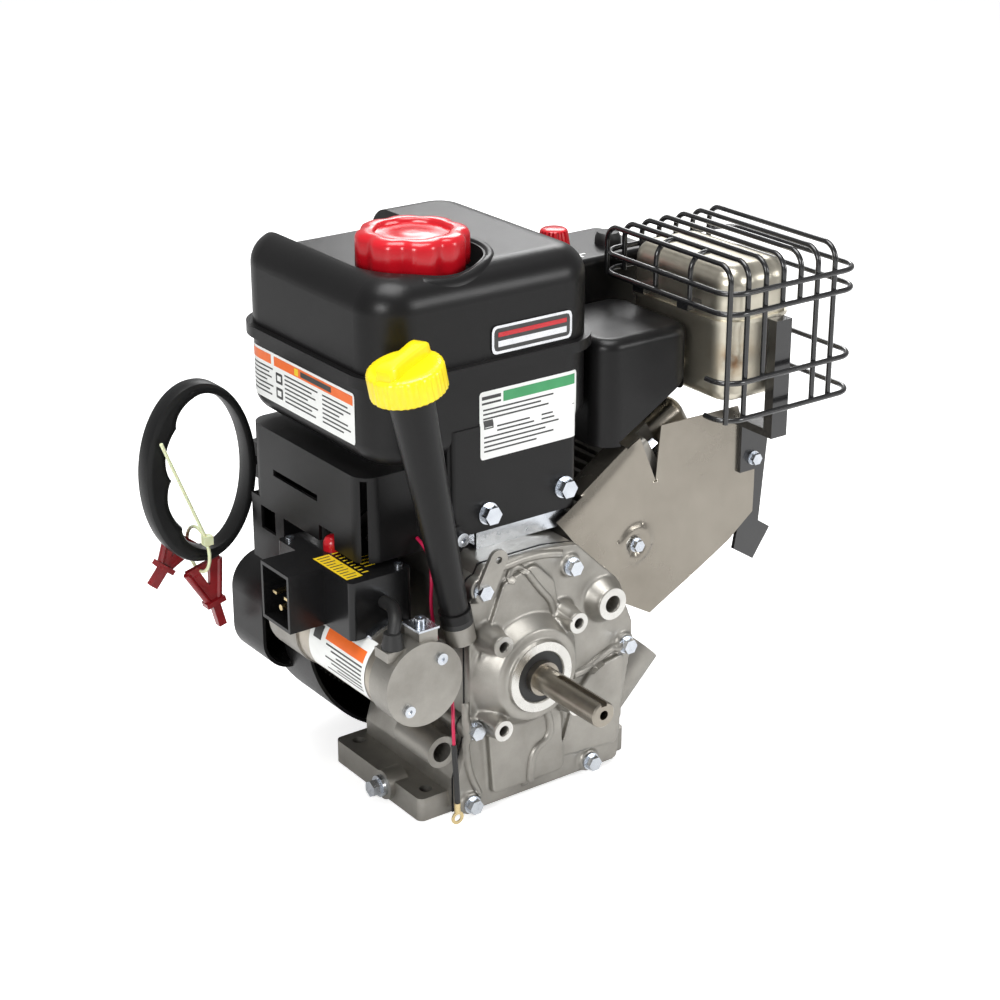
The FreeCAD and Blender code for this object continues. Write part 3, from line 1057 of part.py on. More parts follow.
def build_hood():
    outer = rounded_box(hood_x0, hood_x1, hood_y0, hood_y1, hood_z0, hood_z1, 18.0, 8.0)
    inner = rounded_box(hood_x0 + 2.5, hood_x1 - 2.5, hood_y0 + 2.5, hood_y1 + 20, hood_z0 - 1, hood_z1 - 2.5,
                        15.5, 5.5)
    over_head = on_cylinder_axis(box(-70.0, 70.0, -60.0, 60.0, deck, cover_s1 + 1.5))
    pipe_gap = rod_x(-valve_offset, muffler_z0 + 20.5, 13.5, hood_x1 - 12, hood_x1 + 2)
    hood = cut(outer, [inner, over_head, pipe_gap])
    panel = rounded_box(panel_x0, panel_x1, panel_y0, panel_y1, panel_z0, panel_z1, 10.0, 5.0)
    panel_in = rounded_box(panel_x0 + 2.5, panel_x1 - 2.5, panel_y0 + 2.5, panel_y1 - 2.5, panel_z0 - 1,
                           panel_z1 - 2.5, 7.5, 2.5)
    panel = cut(panel, [panel_in, rod_z(choke_x, choke_y, 6.0 + run_gap, panel_z1 - 5, panel_z1 + 1),
                        rod_z(primer_x, primer_y, 10.3, panel_z1 - 5, panel_z1 + 1)])
    knob = Part.makeCone(14.0, 10.0, 24.0, vec(choke_x, choke_y, panel_z1 + 1), Z_DIR)
    fin = box(choke_x - 12, choke_x + 12, choke_y - 3, choke_y + 3, panel_z1 + 16, panel_z1 + 26)
    stem = rod_z(choke_x, choke_y, 6.0, panel_z1 - 12, panel_z1 + 2)
    primer = rod_z(primer_x, primer_y, 10.0, panel_z1 - 6, panel_z1 + 3)
    dome = Part.makeSphere(10.0, vec(primer_x, primer_y, panel_z1 + 3), Z_DIR, 0, 90, 360)
    dome = dome.common(rod_z(primer_x, primer_y, 11.0, panel_z1, panel_z1 + 9))
    return {"carb_hood": hood, "control_panel": panel, "choke_knob": fuse([knob, fin, stem]),
            "primer_bulb": primer.fuse(dome).removeSplitter()}


# ---------------------------------------------------------------- exhaust

def build_muffler():
    lower = round_along(box(muffler_x0, muffler_x1, muffler_y0, muffler_y1, muffler_z0, muffler_seam_z),
                        Z_DIR, muffler_corner_r)
    lower = lower.makeFillet(8.0, edges_at_z(lower, muffler_z0))
    lower_in = round_along(box(muffler_x0 + 1.5, muffler_x1 - 1.5, muffler_y0 + 1.5, muffler_y1 - 1.5,
                               muffler_z0 + 1.5, muffler_seam_z + 1), Z_DIR, muffler_corner_r - 1.5)
    lower_in = lower_in.makeFillet(6.5, edges_at_z(lower_in, muffler_z0 + 1.5))
    seam = round_along(box(muffler_x0 - 2, muffler_x1 + 2, muffler_y0 - 2, muffler_y1 + 2, muffler_seam_z - 3,
                           muffler_seam_z), Z_DIR, muffler_corner_r + 2)
    pipe_z = muffler_z0 + 20.0
    port = cylinder_point(-fin_half_x, -valve_offset, head_s0 + 13)
    points = [port, port + cylinder_point(-1, 0, 0).sub(cylinder_point(0, 0, 0)) * 22.0,
              vec(port.x + 26.0, -valve_offset, pipe_z + 6.0), vec(muffler_x0 + 6.0, -valve_offset, pipe_z)]
    pipe_in = tube_along(points, 8.5, "exhaust_bore")
    pipe = tube_along(points, 10.5, "exhaust_pipe").cut(pipe_in)
    pipe_hole = rod_x(-valve_offset, pipe_z, 10.5, muffler_x0 - 4, muffler_x0 + 8)
    bottom = cut(fuse([lower, seam]), [lower_in, pipe_hole])
    top = rounded_box(muffler_x0, muffler_x1, muffler_y0, muffler_y1, muffler_seam_z, muffler_z1,
                      muffler_corner_r, 14.0)
    top_in = rounded_box(muffler_x0 + 1.5, muffler_x1 - 1.5, muffler_y0 + 1.5, muffler_y1 - 1.5,
                         muffler_seam_z - 1, muffler_z1 - 1.5, muffler_corner_r - 1.5, 12.5)
    return {"muffler_body": bottom, "muffler_lid": top.cut(top_in), "exhaust_pipe": pipe}


def swept_wire(points, radius, r):
    """Wire with every inner corner bent to one radius."""
    edges = []
    here = points[0]
    for k in range(1, len(points) - 1):
        before = points[k].sub(points[k - 1]).normalize()
        after = points[k + 1].sub(points[k]).normalize()
        reach = radius * math.tan(before.getAngle(after) / 2)
        start = points[k].sub(before * reach)
        end = points[k].add(after * reach)
        half = before.getAngle(after) / 2
        towards = start.add(end).multiply(0.5).sub(points[k]).normalize()
        middle = points[k].add(towards * (radius / math.cos(half) - radius))
        edges.append(Part.LineSegment(here, start).toShape())
        edges.append(Part.Arc(start, middle, end).toShape())
        here = end
    edges.append(Part.LineSegment(here, points[-1]).toShape())
    path = Part.Wire(edges)
    profile = Part.Wire([Part.makeCircle(r, points[0], points[1].sub(points[0]))])
    return path.makePipeShell([profile], True, False)


def build_guard():
    r = guard_wire_r
    x0, x1, y0, y1 = guard_x0, guard_x1, guard_y0, guard_y1
    turn = guard_corner_r
    wires = []
    for z in guard_levels[:2]:
        start = vec(x0, 0, z)
        ring = [start, vec(x0, y0, z), vec(x1, y0, z), vec(x1, y1, z), vec(x0, y1, z), start + vec(0, 0.5, 0)]
        wires.append(swept_wire(ring, turn, r))
    for z in guard_levels[2:]:
        ring = [vec(x0, y0 + turn + 6, z), vec(x0, y0, z), vec(x1, y0, z), vec(x1, y1, z),
                vec(x1 - 40, y1, z)]
        wires.append(swept_wire(ring, turn, r))
    count = 7
    first_x = x0 + 3.0
    pitch = 16.6
    feet = (3, 3, 2, 1, 1, 3, 3)
    for k in range(count):
        x = first_x + k * pitch
        front_z = guard_levels[feet[k]] - r
        back_z = guard_levels[3 if k >= 5 else 1] - r
        inside = 1.5 * r
        front = vec(x, y0 + inside, front_z)
        wires.append(swept_wire([front, vec(x, y0 + inside, guard_top_z), vec(x, y1 - inside, guard_top_z),
                                 vec(x, y1 - inside, back_z)], 12.0, r))
    for y in (-50.0, -12.0):
        side = [vec(x0 + 1.5 * r, y, guard_levels[1] - r), vec(x0 + 1.5 * r, y, guard_top_z - 1.0),
                vec(first_x + pitch + 1.0, y, guard_top_z - 1.0)]
        wires.append(swept_wire(side, 12.0, r))
    guard = wires[0].multiFuse(wires[1:])
    return guard


# ---------------------------------------------------------------- shield

def build_shield():
    outline = [(45, 197), (82, 149), (107, 118), (131, 104), (207, 144), (230, 162), (230, 198), (211, 251),
               (137, 252), (133, 210), (118, 246)]
    front = prism(outline, shield_y - shield_thick, shield_y)
    holes = [rod_y(x, z, 3.2, shield_y - 3, shield_y + 1) for x, z in ((115.0, 164.0), (225.0, 208.0))]
    holes.append(prism(block_outline(-1.0), shield_y - 5, shield_y + 5))
    flank = prism([(67, 211.8), (108, 239.3), (107, 240.8), (66, 213.3)],
                  shield_y - shield_thick, shield_y + 20)
    shield = cut(fuse([front, flank]), holes)
    bolts = [flange_bolt(vec(115.0, shield_y - shield_thick, 164.0), Y_DIR * -1, 8.0, 3.0, 4.5),
             flange_bolt(vec(225.0, shield_y - shield_thick - 3, 208.0), Y_DIR * -1, 8.0, 3.0, 8.0)]
    return {"heat_shield": shield, "shield_bolts": Part.makeCompound(bolts)}


def build_guard_brackets(guard):
    """Black steel brackets: clips from guard to muffler, the upright with its foot, and the deflector."""
    clip_z = guard_levels[1] - 8.0
    clips = [box(guard_x0 + 3, muffler_x0, y - 6, y + 6, clip_z, clip_z + 6) for y in (-42.0, 8.0)]
    foot_y = shield_y - shield_thick
    upright = box(211.0, 226.0, guard_y0 + 8, muffler_y0 - 3, 240.0, 326.0)
    shelf = box(211.0, 226.0, guard_y0 + 8, foot_y, 236.0, 242.0)
    foot = box(213.0, 237.0, foot_y - 3, foot_y, 198.0, 240.0)
    foot = foot.cut(rod_y(225.0, 208.0, 3.2, foot_y - 4, foot_y + 1))
    deflector = prism([(226, 200), (240, 228), (244, 224), (238, 152), (250, 144), (234, 121), (214, 134)],
                      shield_y + 0.3, shield_y + 3.3)
    return {"guard_brackets": Part.makeCompound([clips[0].cut(guard), clips[1].cut(guard),
                                                 fuse([upright, shelf, foot]), deflector])}


# ---------------------------------------------------------------- ground lead

def build_lead():
    """Free wire that leaves the blower housing and hangs in front of the block, with its ring terminal."""
    points = [vec(*point) for point in lead_route]
    wire = tube_along(points, lead_r, "lead_wire")
    end = points[-1]
    barrel = rod_z(end.x, end.y, 2.3, end.z - 8.0, end.z)
    ring = rod_y(end.x, end.z - 12.0, 5.0, end.y - 0.5, end.y + 0.5).cut(
        rod_y(end.x, end.z - 12.0, 2.6, end.y - 1, end.y + 1))
    return {"lead_wire": wire, "lead_terminal": fuse([barrel, ring])}


# ---------------------------------------------------------------- write

def gather():
    """Every node's shape; alike fasteners, gaskets and seals are grouped."""
    top_end = build_top_end()
    works = build_piston_group()
    bearings = build_bearings_and_seals()
    starter = build_starter()
    box_parts = build_switch_box()
    tank = build_tank()
    fill = build_oil_fill()
    muffler = build_muffler()
    shield = build_shield()
    guard = build_guard()
    recoil = build_recoil()
    group = Part.makeCompound
    nodes = {"crankcase": build_crankcase(), "side_cover": build_side_cover(),
             "drain_plug": build_drain_plug(),
             "crankshaft": group([build_crankshaft(), build_big_end()]), "camshaft": build_camshaft(),
             "flywheel": group([build_flywheel(), build_flywheel_nut(), recoil.pop("starter_cup")]),
             "blower_housing": build_blower_housing(), "fuel_cap": build_fuel_cap(),
             "starter_cable": build_starter_cable(),
             "gaskets_and_seals": group([build_cover_gasket(), top_end.pop("head_gasket"),
                                         bearings.pop("oil_seals"), fill.pop("fill_tube_seal")]),
             "flange_bolts": group([build_cover_bolts(), tank.pop("tank_bolts"), shield.pop("shield_bolts")]),
             "pan_screws": group([starter.pop("starter_screws"), box_parts.pop("box_screws"),
                                  fill.pop("ear_screw")]),
             "engine_bolts": top_end.pop("head_bolts"),
             "piston_rings_and_pin": group([works.pop("piston_rings"), works.pop("wrist_pin")]),
             "starter_bracket": group([starter.pop("starter_terminal"), box_parts.pop("box_bracket")]),
             "muffler_body": group([muffler.pop("muffler_body"), muffler.pop("exhaust_pipe")]),
             "muffler_guard": guard}
    for more in (top_end, works, bearings, starter, box_parts, tank, fill, muffler, shield, recoil,
                 build_handle(), build_tie_and_keys(), build_carburetor(), build_ignition(), build_hood(),
                 build_guard_brackets(guard), build_lead()):
        nodes.update(more)
    return nodes


def main():
    nodes = gather()
    os.makedirs("parts", exist_ok=True)
    for name, shape in nodes.items():
        print(name, "solids", len(shape.Solids), "volume", round(shape.Volume), "valid", shape.isValid())
        shape.exportStep("parts/" + name + ".step")
    print(len(nodes), "nodes")


main()
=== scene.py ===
import json
import math
import bmesh
import bpy
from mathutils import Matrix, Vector
from mathutils.bvhtree import BVHTree


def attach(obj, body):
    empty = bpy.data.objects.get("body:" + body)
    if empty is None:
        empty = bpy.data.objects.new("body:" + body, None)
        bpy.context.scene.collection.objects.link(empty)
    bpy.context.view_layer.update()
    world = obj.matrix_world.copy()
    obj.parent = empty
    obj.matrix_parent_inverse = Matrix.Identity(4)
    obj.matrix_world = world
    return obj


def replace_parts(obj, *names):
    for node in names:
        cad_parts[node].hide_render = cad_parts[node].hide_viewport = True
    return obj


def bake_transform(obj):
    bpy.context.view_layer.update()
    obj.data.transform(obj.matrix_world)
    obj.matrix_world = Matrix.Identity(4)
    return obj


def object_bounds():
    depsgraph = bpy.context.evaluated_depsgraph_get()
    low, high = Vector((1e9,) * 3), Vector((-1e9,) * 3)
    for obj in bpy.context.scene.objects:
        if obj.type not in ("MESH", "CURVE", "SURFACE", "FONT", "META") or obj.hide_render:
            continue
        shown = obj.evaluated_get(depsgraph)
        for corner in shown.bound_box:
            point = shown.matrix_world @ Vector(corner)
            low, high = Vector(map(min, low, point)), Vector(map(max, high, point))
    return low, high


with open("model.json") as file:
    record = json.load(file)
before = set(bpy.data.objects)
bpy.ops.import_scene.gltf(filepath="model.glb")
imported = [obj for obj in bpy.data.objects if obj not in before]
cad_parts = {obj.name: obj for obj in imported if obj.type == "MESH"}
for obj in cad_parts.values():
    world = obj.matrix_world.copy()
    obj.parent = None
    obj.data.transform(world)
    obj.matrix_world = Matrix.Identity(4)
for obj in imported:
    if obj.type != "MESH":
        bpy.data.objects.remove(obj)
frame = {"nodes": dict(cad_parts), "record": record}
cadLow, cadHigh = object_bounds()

# Small gasoline engine: materials, printed labels and the finely shaped pieces around the CAD model.
# Lengths in the code are millimetres, turned to metres by at() and mm.
mm = 0.001
cad = frame["nodes"]
xAxis, yAxis, zAxis = Vector((1, 0, 0)), Vector((0, 1, 0)), Vector((0, 0, 1))


def at(x, y, z):
    return Vector((x, y, z)) * mm


# The camera: one shot from the front left, above.
shot = {"azimuth": -35.95, "elevation": 22.5, "place": (-831.9, -1188.5, 810.6), "lens": 79.2}
turn, rise = math.radians(shot["azimuth"]), math.radians(shot["elevation"])
back = Vector((math.sin(turn) * math.cos(rise), -math.cos(turn) * math.cos(rise), math.sin(rise)))
lens = bpy.data.cameras.new("shotCamera")
lens.lens, lens.sensor_width = shot["lens"], 36.0
lens.clip_end = 20.0
camera = bpy.data.objects.new("shotCamera", lens)
camera.location = at(*shot["place"])
camera.rotation_euler = (-back).to_track_quat("-Z", "Y").to_euler()
bpy.context.scene.collection.objects.link(camera)
bpy.context.scene.camera = camera
print("camera placed")


# Shader node groups, each used by several finishes.
def newGroup(name, takes, gives):
    group = bpy.data.node_groups.new(name, "ShaderNodeTree")
    for label, kind, value in takes:
        group.interface.new_socket(label, in_out="INPUT", socket_type=kind).default_value = value
    for label, kind in gives:
        group.interface.new_socket(label, in_out="OUTPUT", socket_type=kind)
    return group, group.nodes.new("NodeGroupInput").outputs, group.nodes.new("NodeGroupOutput").inputs


def addNode(tree, kind, wires=None, **settings):
    node = tree.nodes.new(kind)
    for key, value in settings.items():
        setattr(node, key, value)
    for socket, source in (wires or {}).items():
        if isinstance(source, bpy.types.NodeSocket):
            tree.links.new(source, node.inputs[socket])
        else:
            node.inputs[socket].default_value = source
    return node


def math2(tree, operation, a, b, clamp=False):
    return addNode(tree, "ShaderNodeMath", {0: a, 1: b}, operation=operation, use_clamp=clamp).outputs[0]


def mixColour(tree, factor, a, b, blend="MIX"):
    node = tree.nodes.new("ShaderNodeMix")
    node.data_type, node.blend_type = "RGBA", blend
    for index, source in ((0, factor), (6, a), (7, b)):
        if isinstance(source, bpy.types.NodeSocket):
            tree.links.new(source, node.inputs[index])
        else:
            node.inputs[index].default_value = source
    return node.outputs[2]


colourKind, valueKind, vectorKind = "NodeSocketColor", "NodeSocketFloat", "NodeSocketVector"

handled, take, give = newGroup("handledSurface", [
    ("Color", colourKind, (0.5, 0.5, 0.5, 1)), ("Dark Color", colourKind, (0.3, 0.3, 0.3, 1)),
    ("Patch Scale", valueKind, 30.0), ("Patch Amount", valueKind, 0.3), ("Roughness", valueKind, 0.4),
    ("Roughness Spread", valueKind, 0.15), ("Grain Scale", valueKind, 800.0)],
    [("Color", colourKind), ("Roughness", valueKind), ("Grain", valueKind)])
spot = addNode(handled, "ShaderNodeTexCoord").outputs["Object"]
patches = addNode(handled, "ShaderNodeTexNoise", {"Vector": spot, "Scale": take["Patch Scale"], "Detail": 5.0,
                                                 "Roughness": 0.6}).outputs[0]
shade = addNode(handled, "ShaderNodeMapRange", {"Value": patches, 1: 0.32, 2: 0.68}).outputs[0]
amount = math2(handled, "MULTIPLY", shade, take["Patch Amount"])
handled.links.new(mixColour(handled, amount, take["Color"], take["Dark Color"]), give["Color"])
centred = math2(handled, "SUBTRACT", patches, 0.5)
spread = math2(handled, "MULTIPLY", centred, take["Roughness Spread"])
handled.links.new(math2(handled, "ADD", take["Roughness"], spread, True), give["Roughness"])
grain = addNode(handled, "ShaderNodeTexNoise", {"Vector": spot, "Scale": take["Grain Scale"], "Detail": 2.0})
handled.links.new(grain.outputs[0], give["Grain"])

dusted, take, give = newGroup("settledDust", [
    ("Color", colourKind, (0.5, 0.5, 0.5, 1)), ("Dust Color", colourKind, (0.5, 0.5, 0.48, 1)),
    ("Amount", valueKind, 0.1)], [("Color", colourKind), ("Mask", valueKind)])
facing = addNode(dusted, "ShaderNodeSeparateXYZ",
                 {0: addNode(dusted, "ShaderNodeNewGeometry").outputs["Normal"]}).outputs[2]
upward = math2(dusted, "POWER", math2(dusted, "MAXIMUM", facing, 0.0), 3.0)
spot = addNode(dusted, "ShaderNodeTexCoord").outputs["Object"]
specks = addNode(dusted, "ShaderNodeTexNoise", {"Vector": spot, "Scale": 120.0, "Detail": 6.0}).outputs[0]
mask = math2(dusted, "MULTIPLY", math2(dusted, "MULTIPLY", upward, specks), take["Amount"], True)
dusted.links.new(mixColour(dusted, mask, take["Color"], take["Dust Color"]), give["Color"])
dusted.links.new(mask, give["Mask"])

drawn, take, give = newGroup("drawnLines", [("Stretch", vectorKind, (4.0, 400.0, 400.0))],
                             [("Lines", valueKind)])
spot = addNode(drawn, "ShaderNodeTexCoord").outputs["Object"]
along = addNode(drawn, "ShaderNodeVectorMath", {0: spot, 1: take["Stretch"]}, operation="MULTIPLY").outputs[0]
lines = addNode(drawn, "ShaderNodeTexNoise", {"Vector": along, "Scale": 6.0, "Detail": 3.0})
drawn.links.new(lines.outputs[0], give["Lines"])

stained, take, give = newGroup("heatStain", [
    ("Color", colourKind, (0.6, 0.58, 0.55, 1)), ("Stain Color", colourKind, (0.35, 0.2, 0.1, 1)),
    ("Centre", vectorKind, (0, 0, 0)), ("Reach", valueKind, 0.05)],
    [("Color", colourKind), ("Mask", valueKind)])
spot = addNode(stained, "ShaderNodeTexCoord").outputs["Object"]
away = addNode(stained, "ShaderNodeVectorMath", {0: spot, 1: take["Centre"]}, operation="DISTANCE").outputs[1]
near = math2(stained, "SUBTRACT", 1.0, math2(stained, "DIVIDE", away, take["Reach"]), True)
broken = addNode(stained, "ShaderNodeTexNoise", {"Vector": spot, "Scale": 90.0, "Detail": 6.0}).outputs[0]
mask = math2(stained, "MULTIPLY", near, addNode(stained, "ShaderNodeMapRange",
                                                {"Value": broken, 1: 0.38, 2: 0.62}).outputs[0], True)
stained.links.new(mixColour(stained, mask, take["Color"], take["Stain Color"]), give["Color"])
stained.links.new(mask, give["Mask"])


# Finishes, and which of them each material slot of the CAD gets.
def rgba(colour):
    return (*colour, 1.0)


def makeFinish(name, f):
    made = bpy.data.materials.new(name)
    made.use_nodes = True
    tree = made.node_tree
    shader = tree.nodes["Principled BSDF"]
    surface = addNode(tree, "ShaderNodeGroup", node_tree=handled)
    for label, value in (("Color", rgba(f["color"])), ("Dark Color", rgba(f["dark"])),
                         ("Patch Scale", f.get("patch", 30.0)), ("Patch Amount", f.get("amount", 0.5)),
                         ("Roughness", f["rough"]), ("Roughness Spread", f.get("spread", 0.2)),
                         ("Grain Scale", f.get("grain", 900.0))):
        surface.inputs[label].default_value = value
    colour, height = surface.outputs["Color"], surface.outputs["Grain"]
    if "stain" in f:
        for stainColour, centre, reach in f["stain"]:
            stain = addNode(tree, "ShaderNodeGroup", node_tree=stained)
            tree.links.new(colour, stain.inputs["Color"])
            stain.inputs["Stain Color"].default_value = rgba(stainColour)
            stain.inputs["Centre"].default_value = at(*centre)
            stain.inputs["Reach"].default_value = reach * mm
            colour = stain.outputs["Color"]
    if f.get("dust"):
        dust = addNode(tree, "ShaderNodeGroup", node_tree=dusted)
        tree.links.new(colour, dust.inputs["Color"])
        dust.inputs["Amount"].default_value = f["dust"]
        colour = dust.outputs["Color"]
    if "drawn" in f:
        pull = addNode(tree, "ShaderNodeGroup", node_tree=drawn)
        pull.inputs["Stretch"].default_value = f["drawn"]
        height = pull.outputs["Lines"]
    bump = addNode(tree, "ShaderNodeBump",
                   {"Height": height, "Strength": f.get("bump", 0.1), "Distance": 0.0006})
    tree.links.new(colour, shader.inputs["Base Color"])
    tree.links.new(surface.outputs["Roughness"], shader.inputs["Roughness"])
    tree.links.new(bump.outputs[0], shader.inputs["Normal"])
    shader.inputs["Metallic"].default_value = f.get("metal", 0.0)
    shader.inputs["Coat Weight"].default_value = f.get("coat", 0.0)
    shader.inputs["Coat Roughness"].default_value = f.get("coatRough", 0.1)
    shader.inputs["Specular IOR Level"].default_value = f.get("spec", 0.5)
    if f.get("through"):
        shader.inputs["Subsurface Weight"].default_value = f["through"]
        shader.inputs["Subsurface Radius"].default_value = (0.004, 0.003, 0.002)
    made.diffuse_color = rgba(f["color"])
    return made


finishes = {
    "castAluminium": dict(color=(0.36, 0.345, 0.315), dark=(0.20, 0.19, 0.17), patch=26, amount=0.55,
                          rough=0.42, spread=0.3, grain=1400, bump=0.22, metal=0.85, dust=0.1),
    "machinedFace": dict(color=(0.66, 0.65, 0.62), dark=(0.46, 0.45, 0.42), patch=60, rough=0.28, metal=1.0,
                         drawn=(300.0, 300.0, 8.0), bump=0.06),
    "turnedSteel": dict(color=(0.36, 0.33, 0.28), dark=(0.17, 0.15, 0.13), patch=45, rough=0.3, metal=1.0,
                        drawn=(12.0, 700.0, 12.0), bump=0.08),
    "castIron": dict(color=(0.16, 0.155, 0.15), dark=(0.08, 0.075, 0.07), rough=0.6, metal=0.7, bump=0.25),
    "zincPlate": dict(color=(0.62, 0.65, 0.69), dark=(0.40, 0.43, 0.48), patch=90, amount=0.55, rough=0.25,
                      spread=0.25, metal=1.0, grain=500, bump=0.05),
    "blackMoulding": dict(color=(0.0065, 0.0062, 0.0065), dark=(0.0035, 0.0035, 0.0035), patch=22, rough=0.33,
                          spread=0.12, grain=2600, bump=0.10, dust=0.008, spec=0.26),
    "blackGrip": dict(color=(0.007, 0.0072, 0.0075), dark=(0.004, 0.004, 0.004), patch=40, rough=0.40,
                      grain=3000, bump=0.12, dust=0.01, spec=0.3),
    "blackRubber": dict(color=(0.013, 0.013, 0.013), dark=(0.006, 0.006, 0.006), rough=0.5, grain=1800,
                        bump=0.1),
    "blackBoxGloss": dict(color=(0.007, 0.007, 0.0075), dark=(0.004, 0.004, 0.004), rough=0.25, spread=0.1,
                          grain=1500, bump=0.05, dust=0.01, spec=0.35),
    "blackPaint": dict(color=(0.012, 0.012, 0.013), dark=(0.006, 0.006, 0.006), rough=0.22, coat=0.5,
                       grain=700, bump=0.05),
    "capRed": dict(color=(0.52, 0.006, 0.014), dark=(0.38, 0.003, 0.008), patch=40, amount=0.4, rough=0.26,
                   spread=0.1, grain=1200, bump=0.03, coat=0.15, through=0.05),
    "capYellow": dict(color=(0.93, 0.73, 0.004), dark=(0.80, 0.55, 0.002), patch=40, amount=0.4, rough=0.3,
                      spread=0.1, grain=1200, bump=0.04, coat=0.3, through=0.05),
    "keyRed": dict(color=(0.26, 0.008, 0.012), dark=(0.12, 0.004, 0.006), patch=70, amount=0.6, rough=0.3,
                   grain=900, bump=0.05, coat=0.3),
    "nylonTie": dict(color=(0.72, 0.76, 0.50), dark=(0.60, 0.64, 0.40), patch=120, rough=0.35, through=0.4,
                     grain=900, bump=0.04),
    "mufflerSteel": dict(color=(0.66, 0.62, 0.52), dark=(0.47, 0.43, 0.34), patch=18, amount=0.6, rough=0.36,
                         spread=0.25, metal=0.95, grain=1100, bump=0.1,
                         stain=[((0.42, 0.32, 0.20), (184, -76, 300), 26.0),
                                ((0.24, 0.09, 0.03), (181, -76, 298), 11.0)]),
    "shieldSteel": dict(color=(0.30, 0.275, 0.235), dark=(0.20, 0.18, 0.15), patch=14, amount=0.6, rough=0.27,
                        spread=0.2, metal=0.95, drawn=(20.0, 300.0, 220.0), bump=0.04),
    "starterNickel": dict(color=(0.50, 0.455, 0.39), dark=(0.30, 0.27, 0.225), patch=30, rough=0.3,
                          metal=0.95, grain=1500, bump=0.08),
    "brassPlate": dict(color=(0.72, 0.58, 0.32), dark=(0.50, 0.38, 0.18), patch=200, rough=0.3, metal=1.0),
    "leadInsulation": dict(color=(0.55, 0.008, 0.07), dark=(0.38, 0.004, 0.04), patch=90, rough=0.35,
                           grain=1200, bump=0.03),
    "plugCeramic": dict(color=(0.82, 0.81, 0.77), dark=(0.7, 0.69, 0.64), rough=0.2, coat=0.4),
    "ropeBraid": dict(color=(0.05, 0.05, 0.05), dark=(0.015, 0.015, 0.015), patch=900, amount=0.9, rough=0.8,
                      grain=1600, bump=0.6),
    "labelWhite": dict(color=(0.86, 0.87, 0.85), dark=(0.76, 0.77, 0.75), patch=60, rough=0.38, spread=0.1,
                       bump=0.02),
    "labelOrange": dict(color=(0.86, 0.16, 0.02), dark=(0.75, 0.12, 0.015), patch=60, rough=0.38, bump=0.02),
    "labelGreen": dict(color=(0.05, 0.32, 0.12), dark=(0.03, 0.24, 0.08), patch=60, rough=0.38, bump=0.02),
    "labelInk": dict(color=(0.03, 0.03, 0.03), dark=(0.06, 0.06, 0.06), patch=80, rough=0.45, bump=0.02),
    "labelYellow": dict(color=(0.88, 0.62, 0.02), dark=(0.76, 0.52, 0.01), patch=80, rough=0.4, bump=0.02),
    "emblemSilver": dict(color=(0.75, 0.76, 0.78), dark=(0.62, 0.63, 0.66), patch=80, rough=0.25, metal=0.9,
                         bump=0.02),
}
look = {name: makeFinish(name, f) for name, f in finishes.items()}
print("finishes made", len(look))

slotLook = {"cast_block": "castAluminium", "zinc": "zincPlate", "steel": "turnedSteel", "iron": "castIron",
            "black_shell": "blackMoulding", "red_cap": "capRed", "black_rubber": "blackRubber",
            "muffler_steel": "mufflerSteel", "black_wire": "blackPaint", "starter_shell": "starterNickel",
            "black_box": "blackBoxGloss", "brass_pins": "brassPlate", "yellow_cap": "capYellow",
            "shield_steel": "shieldSteel", "black_grip": "blackGrip", "rope": "ropeBraid",
            "nylon": "nylonTie", "key_red": "keyRed", "ceramic": "plugCeramic", "wire_red": "leadInsulation"}
for part in frame["record"]["subparts"]:
    node = cad[part["node"]]
    node.data.materials.clear()
    node.data.materials.append(look[slotLook[part["material_slot"]]])
print("CAD nodes finished", len(cad))


# Helpers that make pieces from points, profiles and paths.
def addPiece(name, shape, finish, body="engine", smoothAngle=35.0):
    shape.materials.append(look[finish])
    piece = bpy.data.objects.new(name, shape)
    bpy.context.scene.collection.objects.link(piece)
    if smoothAngle and isinstance(shape, bpy.types.Mesh):
        shape.polygons.foreach_set("use_smooth", [True] * len(shape.polygons))
        shape.set_sharp_from_angle(angle=math.radians(smoothAngle))
    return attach(piece, body) if body else piece


def meshOf(name, points, faces):
    shape = bpy.data.meshes.new(name)
    shape.from_pydata(points, [], faces)
    shape.update()
    return shape


def lathe(name, profile, centre, axis, around=96, radiusAt=None):
    side = axis.orthogonal().normalized()
    other = axis.cross(side)
    points, faces = [], []
    for radius, height in profile:
        for k in range(around):
            angle = 2 * math.pi * k / around
            r = radiusAt(radius, height, angle) if radiusAt else radius
            spoke = side * math.cos(angle) + other * math.sin(angle)
            points.append(centre + spoke * r * mm + axis * height * mm)
    rows = len(profile)
    for j in range(rows - 1):
        for k in range(around):
            n = (k + 1) % around
            faces.append((j * around + k, j * around + n, (j + 1) * around + n, (j + 1) * around + k))
    faces.append(tuple(reversed(range(around))))
    faces.append(tuple((rows - 1) * around + k for k in range(around)))
    return meshOf(name, points, faces)


def sweep(name, path, section, up=zAxis, closed=False):
    points, faces = [], []
    count = len(path)
    wide = len(section(0))
    for k, here in enumerate(path):
        before = path[k - 1] if k or closed else here
        after = path[(k + 1) % count] if k < count - 1 or closed else here
        ahead = (after - before).normalized()
        across = ahead.cross(up).normalized()
        lift = across.cross(ahead)
        points += [here + across * a * mm + lift * b * mm for a, b in section(k)]
    for k in range(count if closed else count - 1):
        n = (k + 1) % count
        for j in range(wide):
            m = (j + 1) % wide
            faces.append((k * wide + j, k * wide + m, n * wide + m, n * wide + j))
    if not closed:
        faces.append(tuple(reversed(range(wide))))
        faces.append(tuple((count - 1) * wide + j for j in range(wide)))
    return meshOf(name, points, faces)


def circle(r, around=16):
    return [(r * math.cos(2 * math.pi * k / around), r * math.sin(2 * math.pi * k / around))
            for k in range(around)]


